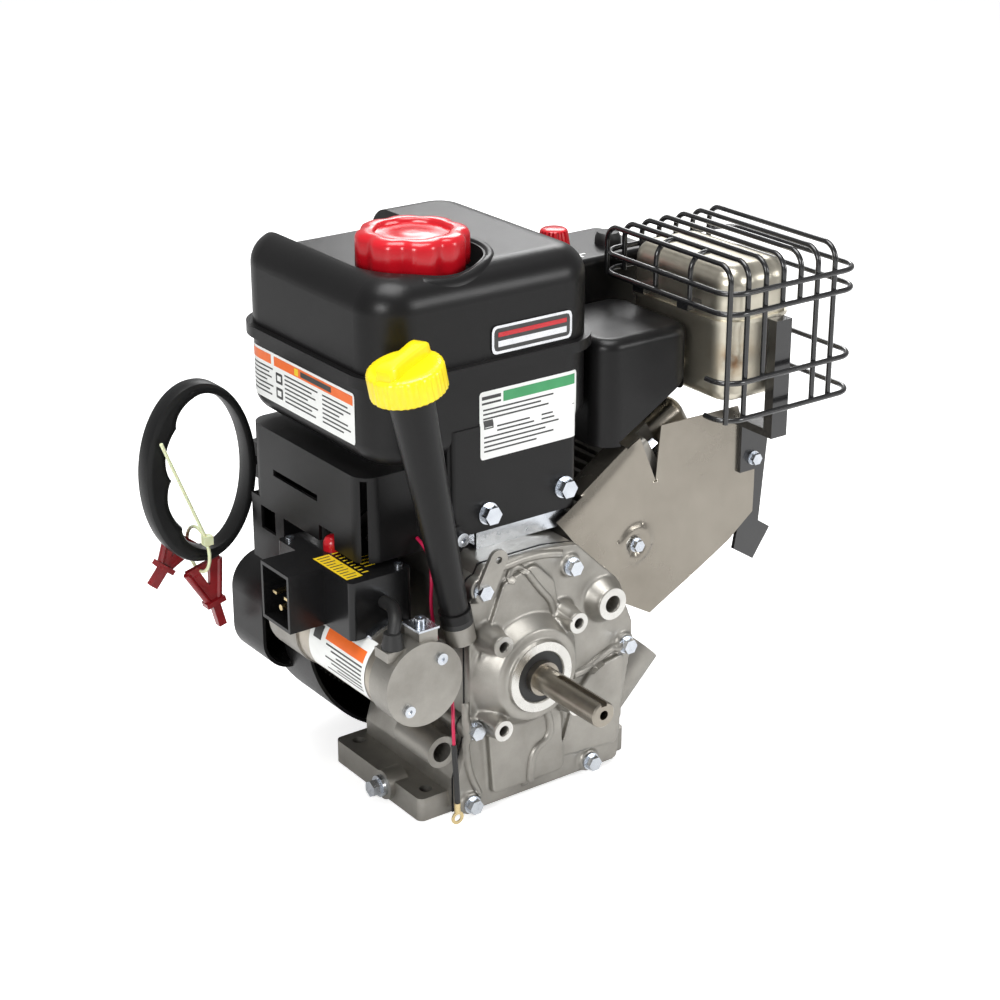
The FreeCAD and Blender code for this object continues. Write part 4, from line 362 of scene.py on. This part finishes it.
def treeOf(*names):
    points, faces = [], []
    for name in names:
        start, shape = len(points), cad[name].data
        points += [cad[name].matrix_world @ v.co for v in shape.vertices]
        faces += [tuple(start + k for k in face.vertices) for face in shape.polygons]
    return BVHTree.FromPolygons(points, faces)


def cutCorner(u, v, wide, tall, corner):
    across = min(u, wide - u)
    if across >= corner:
        return v
    inset = corner - math.sqrt(max(0.0, corner ** 2 - (corner - across) ** 2))
    return max(inset, min(tall - inset, v))


def printed(name, onto, origin, across, up, blocks, body="engine", step=3.0):
    out = across.cross(up).normalized()
    points, faces, used, slots = [], [], [], []
    for finish, u0, v0, wide, tall, layer, corner in blocks:
        if finish not in used:
            used.append(finish)
        columns = [corner * k / 4 for k in range(4)] if corner else [0.0]
        inner = max(1, round((wide - 2 * corner) / step))
        columns += [corner + (wide - 2 * corner) * k / inner for k in range(inner + 1)][0 if corner else 1:]
        columns += [wide - corner * k / 4 for k in reversed(range(4))] if corner else []
        rows = [tall * k / max(1, round(tall / step)) for k in range(max(1, round(tall / step)) + 1)]
        start = len(points)
        for u in columns:
            for v in rows:
                flat = origin + (across * (u0 + u) + up * (v0 + cutCorner(u, v, wide, tall, corner))) * mm
                hit = onto.ray_cast(flat + out * 0.04, -out, 0.08)[0]
                points.append((hit or flat) + out * (0.25 + 0.1 * layer) * mm)
        high = len(rows)
        for j in range(len(columns) - 1):
            for k in range(high - 1):
                a = start + j * high + k
                faces.append((a, a + high, a + high + 1, a + 1))
                slots.append(used.index(finish))
    shape = meshOf(name, points, faces)
    shape.polygons.foreach_set("material_index", slots)
    for finish in used[:-1]:
        shape.materials.append(look[finish])
    return addPiece(name, shape, used[-1], body, 60.0)


def bars(finish, u, v, wide, rows, pitch, tall, layer=1, cuts=(1.0, 0.82, 0.93, 0.7)):
    return [(finish, u, v - k * pitch, wide * cuts[k % len(cuts)], tall, layer, 0) for k in range(rows)]


# Ground lead: the free wire in front of the block.
lead = {"radius": 1.25, "sleeveRadius": 2.0, "sleeveTop": 68.0,
        "route": ((-60.0, -26.4, 205.0), (-60.0, -42.0, 200.0), (-60.5, -45.0, 180.0), (-60.0, -42.0, 160.0),
                  (-57.0, -42.0, 139.0), (-56.0, -52.0, 118.0), (-58.5, -66.0, 98.0), (-66.0, -77.0, 77.0),
                  (-67.5, -81.0, 56.0), (-66.0, -81.0, 37.0), (-65.0, -80.0, 22.0))}
line = bpy.data.curves.new("leadWire", "CURVE")
line.dimensions, line.resolution_u = "3D", 24
spline = line.splines.new("NURBS")
spline.points.add(len(lead["route"]) - 1)
for point, place in zip(spline.points, lead["route"]):
    point.co = (*at(*place), 1.0)
spline.order_u = 3
spline.use_endpoint_u = True
bare = bpy.data.objects.new("leadLine", line)
bpy.context.scene.collection.objects.link(bare)
bpy.context.view_layer.update()
ran = bpy.data.meshes.new_from_object(bare)
leadPath = [v.co.copy() for v in ran.vertices]
bpy.data.objects.remove(bare)
line.bevel_depth = lead["radius"] * mm
line.bevel_resolution = 5
line.use_fill_caps = True
wire = addPiece("leadWire", line, "leadInsulation")
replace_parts(wire, "lead_wire")
sleevePath = [p for p in leadPath if p.z < lead["sleeveTop"] * mm]
shape = sweep("leadSleeve", sleevePath, lambda k: circle(lead["sleeveRadius"]), xAxis)
sleeve = addPiece("leadSleeve", shape, "blackRubber")

# Fuel cap: scalloped skirt and a shallow dished top.
fuelCap = {"centre": (-33.0, 14.0, 387.0), "radius": 39.5, "height": 25.0, "lobes": 8, "bite": 3.4}


def capRadius(radius, height, angle):
    wave = (0.5 + 0.5 * math.cos(fuelCap["lobes"] * angle)) ** 2.2
    keep = max(0.0, min(1.0, (radius - 24.0) / 10.0))
    return radius - fuelCap["bite"] * wave * keep


r, h = fuelCap["radius"], fuelCap["height"]
capProfile = [(r - 3.5, -0.5), (r - 0.8, -0.5), (r, 0.8), (r, h - 5.5), (r - 0.5, h - 3.4),
              (r - 1.8, h - 1.5), (r - 4.0, h - 0.4), (r - 7.0, h),
              (r - 11.0, h), (r - 12.5, h - 0.4), (r - 13.3, h - 1.5),
              (r - 13.8, h - 3.0), (r - 15.5, h - 3.3), (12.0, h - 3.3), (11.0, h - 2.9), (3.0, h - 2.9)]
shape = lathe("fuelCapShell", capProfile, at(*fuelCap["centre"]), zAxis, 192, capRadius)
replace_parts(addPiece("fuelCapShell", shape, "capRed", "cap", 50.0), "fuel_cap")

# Oil filler cap: knurled rim, waisted grip bar and the dipstick blade.
filler = {"foot": (-56.0, -68.5, 155.5), "top": (-97.0, -72.0, 346.0), "radius": 26.0, "height": 19.0}
fillerTop = at(*filler["top"])
fillerDir = (fillerTop - at(*filler["foot"])).normalized()
r = filler["radius"]


def knurl(radius, height, angle):
    return radius - (0.55 if radius > r - 1.2 and math.sin(angle * 36) > 0 else 0.0)


fillerProfile = [(r - 3, -14), (r - 1, -14), (r, -13), (r, 2.2), (r - 0.8, 4.0), (r - 2.6, 5.0),
                 (r - 6, 5.2), (r - 8, 4.6), (5, 4.6)]
shape = lathe("fillerCapShell", fillerProfile, fillerTop, fillerDir, 144, knurl)
fillerCap = addPiece("fillerCapShell", shape, "capYellow", "dipstick", 40.0)
side = fillerDir.cross(Vector((math.cos(math.radians(110)), math.sin(math.radians(110)), 0))).normalized()
fore = side.cross(fillerDir)
barRing = []
for k in range(48):
    a = 2 * math.pi * k / 48
    u, v = 23.5 * math.cos(a), 7.0 * math.sin(a)
    barRing.append((max(-22.5, min(22.5, u * 1.12)), max(-6.3, min(6.3, v * 1.25))))
gripPoints, gripFaces = [], []
for height, shrink in ((4.0, 1.0), (11.0, 0.97), (12.8, 0.9), (13.5, 0.75)):
    for u, v in barRing:
        bow = 1.0 + 0.25 * (u / 22.5) ** 2
        gripPoints.append(fillerTop + (side * u * shrink + fore * v * bow * shrink + fillerDir * height) * mm)
for j in range(3):
    for k in range(48):
        n = (k + 1) % 48
        gripFaces.append((j * 48 + k, j * 48 + n, (j + 1) * 48 + n, (j + 1) * 48 + k))
gripFaces.append(tuple(144 + k for k in range(48)))
addPiece("fillerCapGrip", meshOf("fillerCapGrip", gripPoints, gripFaces), "capYellow",
         "dipstick", 40.0)
shape = sweep("dipstickBlade", [fillerTop - fillerDir * 178 * mm, fillerTop - fillerDir * 6 * mm],
              lambda k: [(-2.4, -0.8), (2.4, -0.8), (2.4, 0.8), (-2.4, 0.8)], xAxis)
addPiece("dipstickBlade", shape, "zincPlate", "dipstick", None)
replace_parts(fillerCap, "dipstick_cap")

# Recoil pull handle: oval ring with a grooved rim and finger scallops on its left.
grip = {"middle": (-141.0, 137.0, 221.0), "halfWide": 45.0, "halfTall": 69.0, "holeShift": 4.5,
        "holeWide": 33.5, "holeTall": 59.5, "thick": 16.0, "fingers": 4.5, "scallop": 5.0, "groove": 5.0}
rings, count = [], 240
cx, cy, cz = grip["middle"]
for k in range(count):
    a = 2 * math.pi * k / count
    outer = Vector((cx + grip["halfWide"] * math.cos(a), 0, cz + grip["halfTall"] * math.sin(a)))
    left = max(0.0, min(1.0, -2.2 * math.cos(a)))
    ripple = grip["scallop"] * left * (1 - abs(math.sin(grip["fingers"] * (a - math.pi))) ** 0.7)
    inner = Vector((cx + grip["holeShift"] + (grip["holeWide"] - ripple) * math.cos(a), 0,
                    cz + grip["holeTall"] * math.sin(a)))
    wide = (outer - inner).length
    out = (outer - inner).normalized()
    edge = min(3.2, wide * 0.3)
    half = grip["thick"] / 2
    groove = grip["groove"] * max(0.0, min(1.0, 2.2 * math.cos(a) + 0.5))
    rim = min(2.6, wide * 0.26)
    section = [(0, half - edge), (0.3 * edge, half - 0.3 * edge), (edge, half), (edge + rim - 0.5, half),
               (edge + rim, half - groove), (wide - edge - rim, half - groove),
               (wide - edge - rim + 0.5, half), (wide - edge, half),
               (wide - 0.3 * edge, half - 0.3 * edge), (wide, half - edge)]
    section += [(w, -h) for w, h in reversed(section)]
    rings.append([Vector((inner.x + out.x * w, cy + h, inner.z + out.z * w)) * mm for w, h in section])
wide = len(rings[0])
gripPoints = [p for ring in rings for p in ring]
gripFaces = [(k * wide + j, k * wide + (j + 1) % wide, ((k + 1) % count) * wide + (j + 1) % wide,
              ((k + 1) % count) * wide + j) for k in range(count) for j in range(wide)]
shape = meshOf("pullHandleGrip", gripPoints, gripFaces)
handle = addPiece("pullHandleGrip", shape, "blackGrip", "handle", 32.0)
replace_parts(handle, "pull_handle")
ropePath = [at(-96.0 + 2.0 * k, 137.0, 218.0 - 0.6 * math.sin(math.pi * k / 16)) for k in range(17)]
shape = sweep("ropeRun", ropePath, lambda k: circle(2.4 + 0.18 * (k % 2), 14))
rope = addPiece("ropeRun", shape, "ropeBraid", None)
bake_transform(rope)
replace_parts(rope, "rope_end")

# Choke knob: tapered and ribbed.
choke = {"centre": (124.0, 62.0, 351.0), "height": 24.0, "ribs": 20}


def ribbed(radius, height, angle):
    inRibs = 2.0 < height < choke["height"] - 1.5 and radius > 8
    return radius - (0.9 if inRibs and math.sin(angle * choke["ribs"]) > 0 else 0.0)


knobProfile = [(13.2, 0), (14.0, 0.8), (14.0, 2.0), (13.6, 2.4), (12.6, 9.0), (11.4, 16.0), (10.4, 22.4),
               (9.8, 23.6), (8.6, 24.4), (2.0, 24.8)]
shape = lathe("chokeKnobShell", knobProfile, at(*choke["centre"]), zAxis, 160, ribbed)
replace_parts(addPiece("chokeKnobShell", shape, "capRed", "choke", 35.0), "choke_knob")

# Tank labels and plate, laid on the tank by ray casting; all marks are generic.
tankSkin = treeOf("tank_upper", "tank_lower")
printed("frontLabel", tankSkin, at(-20, -46, 259), xAxis, zAxis,
        [("labelWhite", 0, 0, 84, 49, 0, 2.5), ("labelGreen", 20, 39, 62, 7.5, 1, 0),
         ("labelInk", 2, 39.5, 16, 1.5, 1, 0), ("labelInk", 2, 43, 16, 2.5, 1, 0)]
        + bars("labelInk", 3, 35, 60, 3, 3.2, 1.2) + bars("labelInk", 14, 25.2, 34, 3, 3.2, 1.2)
        + bars("labelInk", 52, 25.2, 12, 3, 3.2, 1.2) + bars("labelInk", 3, 15.4, 64, 4, 3.4, 1.2)
        + [("labelInk", 3, 22, 8, 6, 1, 0), ("labelWhite", 4, 23, 6, 4, 2, 0)])
printed("leftLabel", tankSkin, at(-103, 125, 278), -yAxis, zAxis,
        [("labelWhite", 0, 0, 139, 37, 0, 2.5), ("labelOrange", 34, 28, 103, 7, 1, 0),
         ("labelOrange", 2, 28, 28, 7, 1, 0), ("labelInk", 70, 29.5, 40, 4, 2, 0),
         ("labelYellow", 62, 29, 5, 5, 2, 0)]
        + bars("labelInk", 4, 24, 28, 7, 3.2, 1.2) + bars("labelInk", 48, 24, 44, 7, 3.2, 1.2)
        + bars("labelInk", 98, 24, 36, 7, 3.2, 1.2, cuts=(0.9, 1.0, 0.75, 0.6))
        + [("labelInk", 36, 16, 9, 8, 1, 1), ("labelInk", 36, 5, 9, 8, 1, 1),
           ("labelWhite", 38, 18, 5, 4, 2, 0), ("labelWhite", 38, 7, 5, 4, 2, 0)])
printed("tankEmblem", tankSkin, at(-10, -46, 333), xAxis, zAxis,
        [("emblemSilver", 0, 0, 68, 20, 8, 4.0), ("labelInk", 2, 2, 64, 16, 10, 3.0),
         ("capRed", 5, 12, 58, 3.2, 12, 0), ("emblemSilver", 5, 5, 58, 4.2, 12, 0)], step=2.0)

recessRim = {"centre": (-33.0, 14.0), "inner": 49.0, "half": 3.2, "tall": 2.2, "from": -118.0, "to": 72.0}
points, faces = [], []
rimSteps = 72
for k in range(rimSteps + 1):
    turned = math.radians(recessRim["from"] + (recessRim["to"] - recessRim["from"]) * k / rimSteps)
    for u in (-1.0, -0.7, -0.3, 0.3, 0.7, 1.0):
        reach = recessRim["inner"] + recessRim["half"] * (1 + u)
        flat = at(recessRim["centre"][0] + reach * math.cos(turned),
                  recessRim["centre"][1] + reach * math.sin(turned), 420)
        hit = tankSkin.ray_cast(flat, -zAxis, 0.2)[0] or flat
        fade = math.sin(math.pi * k / rimSteps) ** 0.3
        points.append(hit + zAxis * (recessRim["tall"] * fade * (1 - u * u) ** 0.5 - 0.4) * mm)
faces = [(k * 6 + j, k * 6 + j + 1, k * 6 + j + 7, k * 6 + j + 6) for k in range(rimSteps) for j in range(5)]
addPiece("tankRecessRim", meshOf("tankRecessRim", points, faces), "blackMoulding",
         smoothAngle=60.0)

# Switch box print and the label wrapped on the starter.
boxSkin = treeOf("switch_box")
printed("switchTopPrint", boxSkin, at(-121, -34, 190), xAxis, yAxis,
        [("labelYellow", 1, 4, 13, 44, 0, 0)] + bars("labelInk", 2.5, 44, 10, 10, 4.2, 1.2)
        + bars("labelYellow", 16, 46, 5, 9, 4.8, 1.6, 0) + bars("labelYellow", 23, 30, 12, 4, 5.0, 1.6, 0))
wrap = {"axis": (-91.0, 123.0), "radius": 29.8, "from": 126.0, "to": 214.0, "y0": -50.0, "y1": 22.0}


def wrapBand(name, y0, y1, a0, a1, lift, finish):
    rows = []
    for y in (y0, y1):
        for k in range(25):
            a = math.radians(a0 + (a1 - a0) * k / 24)
            rr = wrap["radius"] + lift
            rows.append(at(wrap["axis"][0] + rr * math.cos(a), y, wrap["axis"][1] + rr * math.sin(a)))
    faces = [(k, k + 1, 26 + k, 25 + k) for k in range(24)]
    return addPiece(name, meshOf(name, rows, faces), finish)


wrapBand("starterLabel", wrap["y0"], wrap["y1"], wrap["from"], wrap["to"], 0.0, "labelWhite")
wrapBand("starterLabelBand", -46.0, 2.0, 143.0, 160.0, 0.12, "labelOrange")
wrapBand("starterLabelMark", 7.0, 17.0, 146.0, 166.0, 0.12, "labelInk")
for k in range(7):
    start = 164.0 + 6.0 * k
    wrapBand("starterLabelRow%d" % k, -46.0, 0.0 - 7.0 * (k % 3), start, start + 2.4, 0.12, "labelInk")

# Control panel icons.
panelSkin = treeOf("control_panel")
printed("panelIcons", panelSkin, at(96, 54, 350), xAxis, yAxis,
        [("labelWhite", 52, 4, 2, 14, 0, 0), ("labelWhite", 46, 10, 14, 2, 0, 0),
         ("labelWhite", 8, 26, 9, 2, 0, 0), ("labelWhite", 8, 31, 9, 2, 0, 0),
         ("labelWhite", 8, 36, 5, 2, 0, 0)])

# Side cover: the CAD shape with soft cast fillets.
cast = {"voxel": 1.15, "smooth": 5, "factor": 0.6}
copied = cad["side_cover"].data.copy()
copied.materials.clear()
coverCast = addPiece("coverCast", copied, "castAluminium", smoothAngle=None)
remesh = coverCast.modifiers.new("cast", "REMESH")
remesh.mode, remesh.voxel_size, remesh.use_smooth_shade = "VOXEL", cast["voxel"] * mm, True
soften = coverCast.modifiers.new("soften", "SMOOTH")
soften.iterations, soften.factor = cast["smooth"], cast["factor"]
bpy.context.view_layer.update()
softened = bpy.data.meshes.new_from_object(coverCast.evaluated_get(bpy.context.evaluated_depsgraph_get()))
coverCast.modifiers.clear()
coverCast.data = softened
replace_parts(coverCast, "side_cover")
print("cover cast", len(softened.polygons))

# Relief and machined faces on the side cover.
coverSkin = treeOf("side_cover")


def smoothRoute(route, rounds=3):
    for _ in range(rounds):
        cut = [route[0]]
        for (ax, az), (bx, bz) in zip(route, route[1:]):
            cut += [(0.75 * ax + 0.25 * bx, 0.75 * az + 0.25 * bz),
                    (0.25 * ax + 0.75 * bx, 0.25 * az + 0.75 * bz)]
        route = cut + [route[-1]]
    return route


def ridge(name, route, half, tall):
    run = [Vector((x, 0, z)) for x, z in smoothRoute(route)]
    across = [-1.0, -0.8, -0.5, -0.2, 0.2, 0.5, 0.8, 1.0]
    points, faces = [], []
    for k, here in enumerate(run):
        ahead = (run[min(k + 1, len(run) - 1)] - run[max(k - 1, 0)]).normalized()
        side = Vector((ahead.z, 0, -ahead.x))
        fade = min(1.0, 0.15 + 0.3 * min(k, len(run) - 1 - k))
        for u in across:
            flat = here + side * u * half
            hit = coverSkin.ray_cast(flat * mm - yAxis * 0.12, yAxis, 0.08)[0]
            depth = hit.y if hit else -0.0695
            bump = tall * fade * (1 - u * u) ** 0.6 - (0.6 if abs(u) == 1.0 else 0.0)
            points.append(Vector((flat.x * mm, depth - bump * mm, flat.z * mm)))
    wide = len(across)
    for k in range(len(run) - 1):
        for j in range(wide - 1):
            c = k * wide + j
            faces.append((c, c + 1, c + wide + 1, c + wide))
    return addPiece(name, meshOf(name, points, faces), "castAluminium", smoothAngle=60.0)


coverRidges = {
    "ridgeArch": ([(-42, 166), (-38, 184), (-25, 187), (-12, 188), (2, 189), (18, 188), (34, 184)], 3.4, 3.0),
    "ridgeSpine": ([(-14, 175), (-11, 184), (-3, 184), (4, 174), (12, 163), (20, 154), (24, 141)], 3.0, 2.6),
    "ridgeRight": ([(44, 85), (58, 86), (68, 92), (82, 97), (96, 100)], 3.6, 3.0),
    "ridgeLow": ([(16, 70), (21, 54), (18, 44), (7, 40), (3, 30), (2, 8)], 3.2, 2.8),
    "ridgeLeft": ([(-50, 92), (-50, 56), (-47, 34), (-38, 14)], 3.0, 2.6),
}
for name, (route, half, tall) in coverRidges.items():
    ridge(name, route, half, tall)


def facePlate(name, x, z, inner, outer, y, finish="machinedFace", around=64):
    points, faces = [], []
    for radius, depth in ((inner, y), (inner, y - 0.3), (outer, y - 0.3), (outer, y)):
        points += [at(x + radius * math.cos(2 * math.pi * k / around), depth,
                      z + radius * math.sin(2 * math.pi * k / around)) for k in range(around)]
    for j in range(4):
        for k in range(around):
            n = (k + 1) % around
            faces.append((j * around + k, j * around + n, (j + 1) % 4 * around + n, (j + 1) % 4 * around + k))
    return addPiece(name, meshOf(name, points, faces), finish, smoothAngle=None)


hub = {"x": 0.0, "z": 106.0, "face": -91.0, "inner": 20.0, "outer": 26.4, "boltReach": 32.55}
facePlate("hubFace", hub["x"], hub["z"], hub["inner"], hub["outer"], hub["face"])
for k, (sx, sz) in enumerate(((-1, -1), (1, -1), (-1, 1), (1, 1))):
    reach = hub["boltReach"]
    facePlate("bossFace%d" % k, sx * reach, hub["z"] + sz * reach, 4.1, 7.7, hub["face"])
facePlate("upperBossFace", 71.0, 139.0, 6.6, 12.0, -81.0)

# Lifting strap: flat arm with one hole, bolted at the upper left cover bolt
strap = {"foot": (-35.0, 180.0), "tip": (-26.0, 197.0), "half": 7.5, "y": -73.2, "thick": 3.0, "hole": 2.6}
foot, tip = Vector((*strap["foot"], 0)), Vector((*strap["tip"], 0))
way = (tip - foot).normalized()
outline = []
for middle, first in ((tip, -90.0), (foot, 90.0)):
    for k in range(13):
        turned = math.atan2(way.y, way.x) + math.radians(first + 15 * k)
        outline.append(middle + Vector((math.cos(turned), math.sin(turned), 0)) * strap["half"])
hole = [tip + Vector((math.cos(math.radians(360 * k / 26)), math.sin(math.radians(360 * k / 26)), 0))
        * strap["hole"] for k in range(26)]
nearest = min(range(26), key=lambda k: (hole[k] - outline[0]).length)
hole = hole[nearest:] + hole[:nearest]
points, faces = [], []
for depth in (strap["y"], strap["y"] - strap["thick"]):
    points += [at(p.x, depth, p.y) for p in outline] + [at(p.x, depth, p.y) for p in hole]
for base, flip in ((0, False), (52, True)):
    for k in range(26):
        n = (k + 1) % 26
        quad = (base + k, base + n, base + 26 + n, base + 26 + k)
        faces.append(tuple(reversed(quad)) if flip else quad)
for ring in (0, 26):
    faces += [(ring + k, ring + (k + 1) % 26, 52 + ring + (k + 1) % 26, 52 + ring + k) for k in range(26)]
addPiece("coverStrap", meshOf("coverStrap", points, faces), "castAluminium", smoothAngle=None)

# Heat shield: rolled upper edge and a pressed dimple round its bolt.
shield = {"edgeFrom": (45.0, 197.0), "edgeTo": (123.0, 255.0), "roll": 13.0, "drop": 3.0,
          "bolt": (115.0, 164.0), "washer": 6.2, "dimple": 17.0, "press": 2.4, "rollEnd": 92.0,
          "front": -48.0, "cuts": 68, "cutPitch": 3.0, "wave": 0.5}
work = bmesh.new()
work.from_mesh(cad["heat_shield"].data)
for step in range(shield["cuts"]):
    spot = at(40 + shield["cutPitch"] * step, 0, 100 + shield["cutPitch"] * step)
    for normal in (xAxis, zAxis):
        bmesh.ops.bisect_plane(work, geom=work.verts[:] + work.edges[:] + work.faces[:], plane_co=spot,
                               plane_no=normal)
bmesh.ops.triangulate(work, faces=work.faces[:])
edgeStart = Vector((shield["edgeFrom"][0], 0, shield["edgeFrom"][1]))
edgeWay = (Vector((shield["edgeTo"][0], 0, shield["edgeTo"][1])) - edgeStart).normalized()
inward = Vector((edgeWay.z, 0, -edgeWay.x))
for vert in work.verts:
    p = vert.co / mm
    if p.y > shield["front"]:
        continue
    inside = (p - edgeStart).dot(inward)
    alongEdge = (p - edgeStart).dot(edgeWay)
    if inside < shield["roll"] and alongEdge < shield["rollEnd"]:
        share = max(0.0, 1 - max(0.0, inside) / shield["roll"])
        fade = min(1.0, (shield["rollEnd"] - alongEdge) / 12.0)
        vert.co.y += shield["drop"] * fade * share ** 2 * mm
    away = math.hypot(p.x - shield["bolt"][0], p.z - shield["bolt"][1])
    if shield["washer"] < away < shield["dimple"]:
        lift = math.sin(math.pi * (away - shield["washer"]) / (shield["dimple"] - shield["washer"]))
        vert.co.y -= shield["press"] * lift * mm
    vert.co.y -= shield["wave"] * math.sin(p.x * 0.045) * math.sin(p.z * 0.06) * mm
shieldMesh = bpy.data.meshes.new("shieldPlate")
work.to_mesh(shieldMesh)
work.free()
shieldPlate = addPiece("shieldPlate", shieldMesh, "shieldSteel", smoothAngle=60.0)
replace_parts(shieldPlate, "heat_shield")

# Floor, world and lamps.
floorMesh = meshOf("studioFloor", [(-30, -30, 0), (30, -30, 0), (30, 30, 0), (-30, 30, 0)], [(0, 1, 2, 3)])
backdrop = {"seenGlow": 0.62, "roomGlow": 0.36, "gap": 0.0005}
floorLook = makeFinish("floorPaper", dict(color=(0.93, 0.93, 0.93), dark=(0.90, 0.90, 0.90), patch=2,
                                          amount=0.4, rough=0.7, spread=0.05, bump=0.01))
floorTree = floorLook.node_tree
floorShader = floorTree.nodes["Principled BSDF"]
floorShader.inputs["Emission Color"].default_value = (1, 1, 1, 1)
seen = addNode(floorTree, "ShaderNodeLightPath").outputs["Is Camera Ray"]
floorTree.links.new(math2(floorTree, "MULTIPLY", seen, backdrop["seenGlow"]),
                    floorShader.inputs["Emission Strength"])
floorMesh.materials.append(floorLook)
floor = bpy.data.objects.new("studioFloor", floorMesh)
floor.location.z = cadLow.z - backdrop["gap"]
bpy.context.scene.collection.objects.link(floor)
world = bpy.data.worlds.new("softRoom")
world.use_nodes = True
world.node_tree.nodes["Background"].inputs[0].default_value = (1.0, 1.0, 1.0, 1.0)
world.node_tree.nodes["Background"].inputs[1].default_value = backdrop["roomGlow"]
bpy.context.scene.world = world
lamps = {"overhead": ((-0.1, -0.1, 1.7), 1.0, 26.0), "frontLeft": ((-1.9, -1.1, 1.0), 0.7, 24.0),
         "rightFront": ((1.1, -1.7, 0.9), 0.6, 14.0), "rearRight": ((1.2, 1.4, 1.4), 0.8, 14.0)}
target = (cadLow + cadHigh) / 2
for name, (place, size, power) in lamps.items():
    glow = bpy.data.lights.new(name, "AREA")
    glow.shape, glow.size, glow.energy = "SQUARE", size, power
    lamp = bpy.data.objects.new(name, glow)
    lamp.location = place
    lamp.rotation_euler = (Vector(place) - target).to_track_quat("Z", "Y").to_euler()
    bpy.context.scene.collection.objects.link(lamp)
bpy.context.scene.view_settings.view_transform = "Standard"
print("stage lit")
